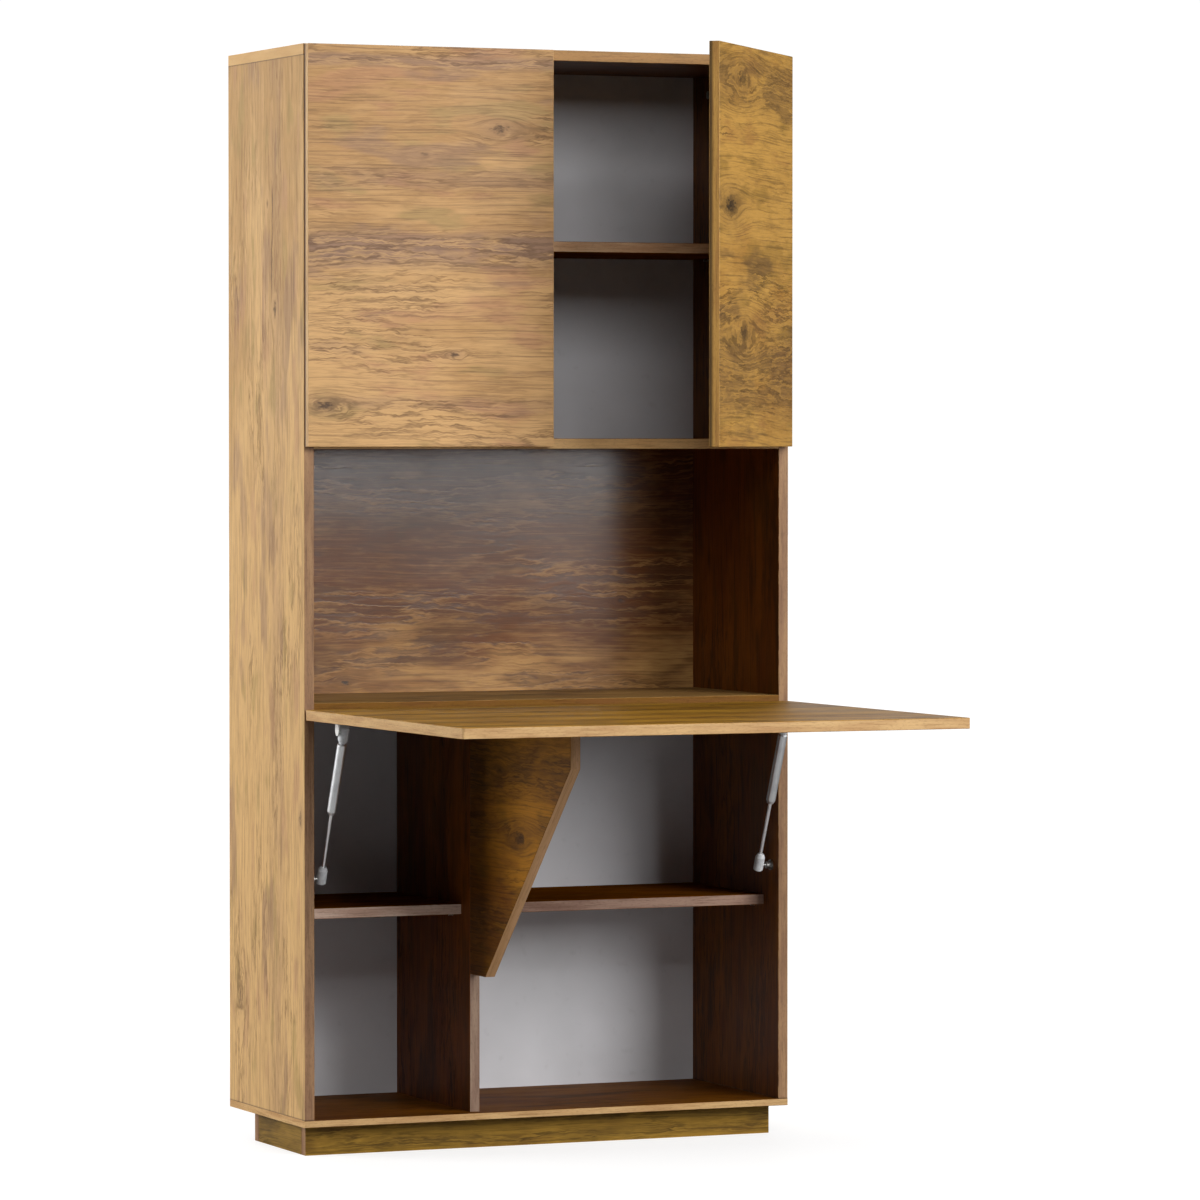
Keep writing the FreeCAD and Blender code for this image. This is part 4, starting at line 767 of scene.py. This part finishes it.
on_bracket = []
for foot in LEAF_FEET:
    for step in (-1, 0, 1):
        level = foot + LEAF_HALF + LEAF_STEP * step
        stagger = LEAF_STAGGER * (step % 2)
        on_cabinet.append((Vector((LEAF_FACE_X, DIVIDER_LEAF_Y + stagger, level)),
                           INWARD["left"], "leaf"))
        on_bracket.append((Vector((LEAF_FACE_X, BRACKET_LEAF_Y - stagger, level)),
                           INWARD["left"], "leaf"))
screws("cabinet_screws", "cabinet", on_cabinet)
screws("bracket_screws", "bracket", on_bracket)


# ---- Studio -------------------------------------------------------------------------------------
# A plain pale floor that runs out to white, and four soft boxes: a broad one in front on the right,
# a small one in front on the left to fill the shadows, one on the left behind the line of the
# carcass, and one behind that no gloss mirrors.

FLOOR_REACH = 60.0
WHITE = (1.0, 1.0, 1.0, 1.0)
BLACK = (0.0, 0.0, 0.0, 1.0)


def studio_floor():
    """A matt pale floor that glows for the camera, so that it runs out to white far away."""
    material, surface, place = new_finish("studio_floor", Roughness=0.7)
    seen = place.node("ShaderNodeLightPath", out="Is Camera Ray")
    mirrored = place.node("ShaderNodeLightPath", out="Is Glossy Ray")
    cloud = place.noise(3.0, scale=0.6)
    far = place.node("ShaderNodeVectorMath", {"operation": "LENGTH"}, {0: place}, out=1)
    pale = place.colour(cloud, tone(150, 149, 148), tone(156, 155, 154))
    surface.inputs["Emission Color"].default_value = WHITE
    feed(surface, Base_Color=place.colour(far.rise(1.2, 4.5), pale, BLACK),
         Emission_Strength=seen * (far.rise(0.8, 4.5) * 0.30 + 0.72)
         + mirrored * far.rise(12.0, 34.0) * 0.9)
    return material


floor_mesh = bpy.data.meshes.new("studio_floor")
floor_mesh.from_pydata([(-FLOOR_REACH, -FLOOR_REACH, 0), (FLOOR_REACH, -FLOOR_REACH, 0),
                        (FLOOR_REACH, FLOOR_REACH, 0), (-FLOOR_REACH, FLOOR_REACH, 0)],
                       [], [(0, 1, 2, 3)])
floor = bpy.data.objects.new("studio_floor", floor_mesh)
bpy.context.scene.collection.objects.link(floor)
floor.data.materials.append(studio_floor())


def soft_box(name, place, aim, width, height, power, mirrored=True):
    """A rectangular light that faces a point."""
    light = bpy.data.lights.new(name, "AREA")
    light.shape = "RECTANGLE"
    light.size = width
    light.size_y = height
    light.energy = power
    lamp = bpy.data.objects.new(name, light)
    lamp.visible_glossy = mirrored
    lamp.location = place
    lamp.rotation_euler = (Vector(aim) - Vector(place)).to_track_quat("-Z", "Y").to_euler()
    bpy.context.scene.collection.objects.link(lamp)


soft_box("front_box", (2.6, -4.8, 2.6), (0.0, 0.0, 1.0), 3.0, 3.0, 310.0)
soft_box("fill_box", (-1.0, -4.9, 3.2), (0.0, 0.0, 1.2), 1.8, 1.6, 80.0)
soft_box("left_box", (-4.6, 1.5, 1.8), (-0.45, 0.0, 1.0), 2.4, 2.6, 225.0)
soft_box("back_box", (-0.8, 5.0, 2.4), (0.0, 0.2, 1.0), 2.4, 2.4, 170.0, mirrored=False)


DARK_CORNER = (0.85, 0.53)
BACKDROP_GLOW, MIRRORED_GLOW, ROOM_GLOW = 0.97, 0.95, 0.06


def white_room():
    """A white room that the gloss mirrors, apart from one dark corner at the back on the right."""
    world = bpy.data.worlds.new("white_room")
    world.use_nodes = True
    backdrop = world.node_tree.nodes["Background"]
    backdrop.inputs["Color"].default_value = WHITE
    way = Wire(world.node_tree).node("ShaderNodeTexCoord")
    x, y, _ = way.parts()
    seen = way.node("ShaderNodeLightPath", out="Is Camera Ray")
    mirrored = way.node("ShaderNodeLightPath", out="Is Glossy Ray")
    lit = (x * DARK_CORNER[0] + y * DARK_CORNER[1]).rise(0.95, 0.80)
    feed(backdrop, Strength=seen * BACKDROP_GLOW + mirrored * lit * MIRRORED_GLOW + ROOM_GLOW)
    return world


bpy.context.scene.world = white_room()


# ---- Camera -------------------------------------------------------------------------------------
# A long lens at chest height, well back and to the left of the desk. Its dip is towards the floor
# and its yaw to the right, both in radians; the focal length is in pixels of a square picture.

CAMERA_PLACE = (-4.0489, -9.7495, 1.2146)
CAMERA_YAW = 0.407946
CAMERA_DIP = 0.026452
PICTURE_WIDTH = 1200
FOCAL_PIXELS = 6073.6
camera = bpy.data.cameras.new("camera")
camera.sensor_width = 36.0
camera.lens = FOCAL_PIXELS / PICTURE_WIDTH * camera.sensor_width
viewer = bpy.data.objects.new("camera", camera)
viewer.location = CAMERA_PLACE
viewer.rotation_euler = (math.radians(90) - CAMERA_DIP, 0.0, -CAMERA_YAW)
bpy.context.scene.collection.objects.link(viewer)
bpy.context.scene.camera = viewer
bpy.context.scene.view_settings.view_transform = "Standard"
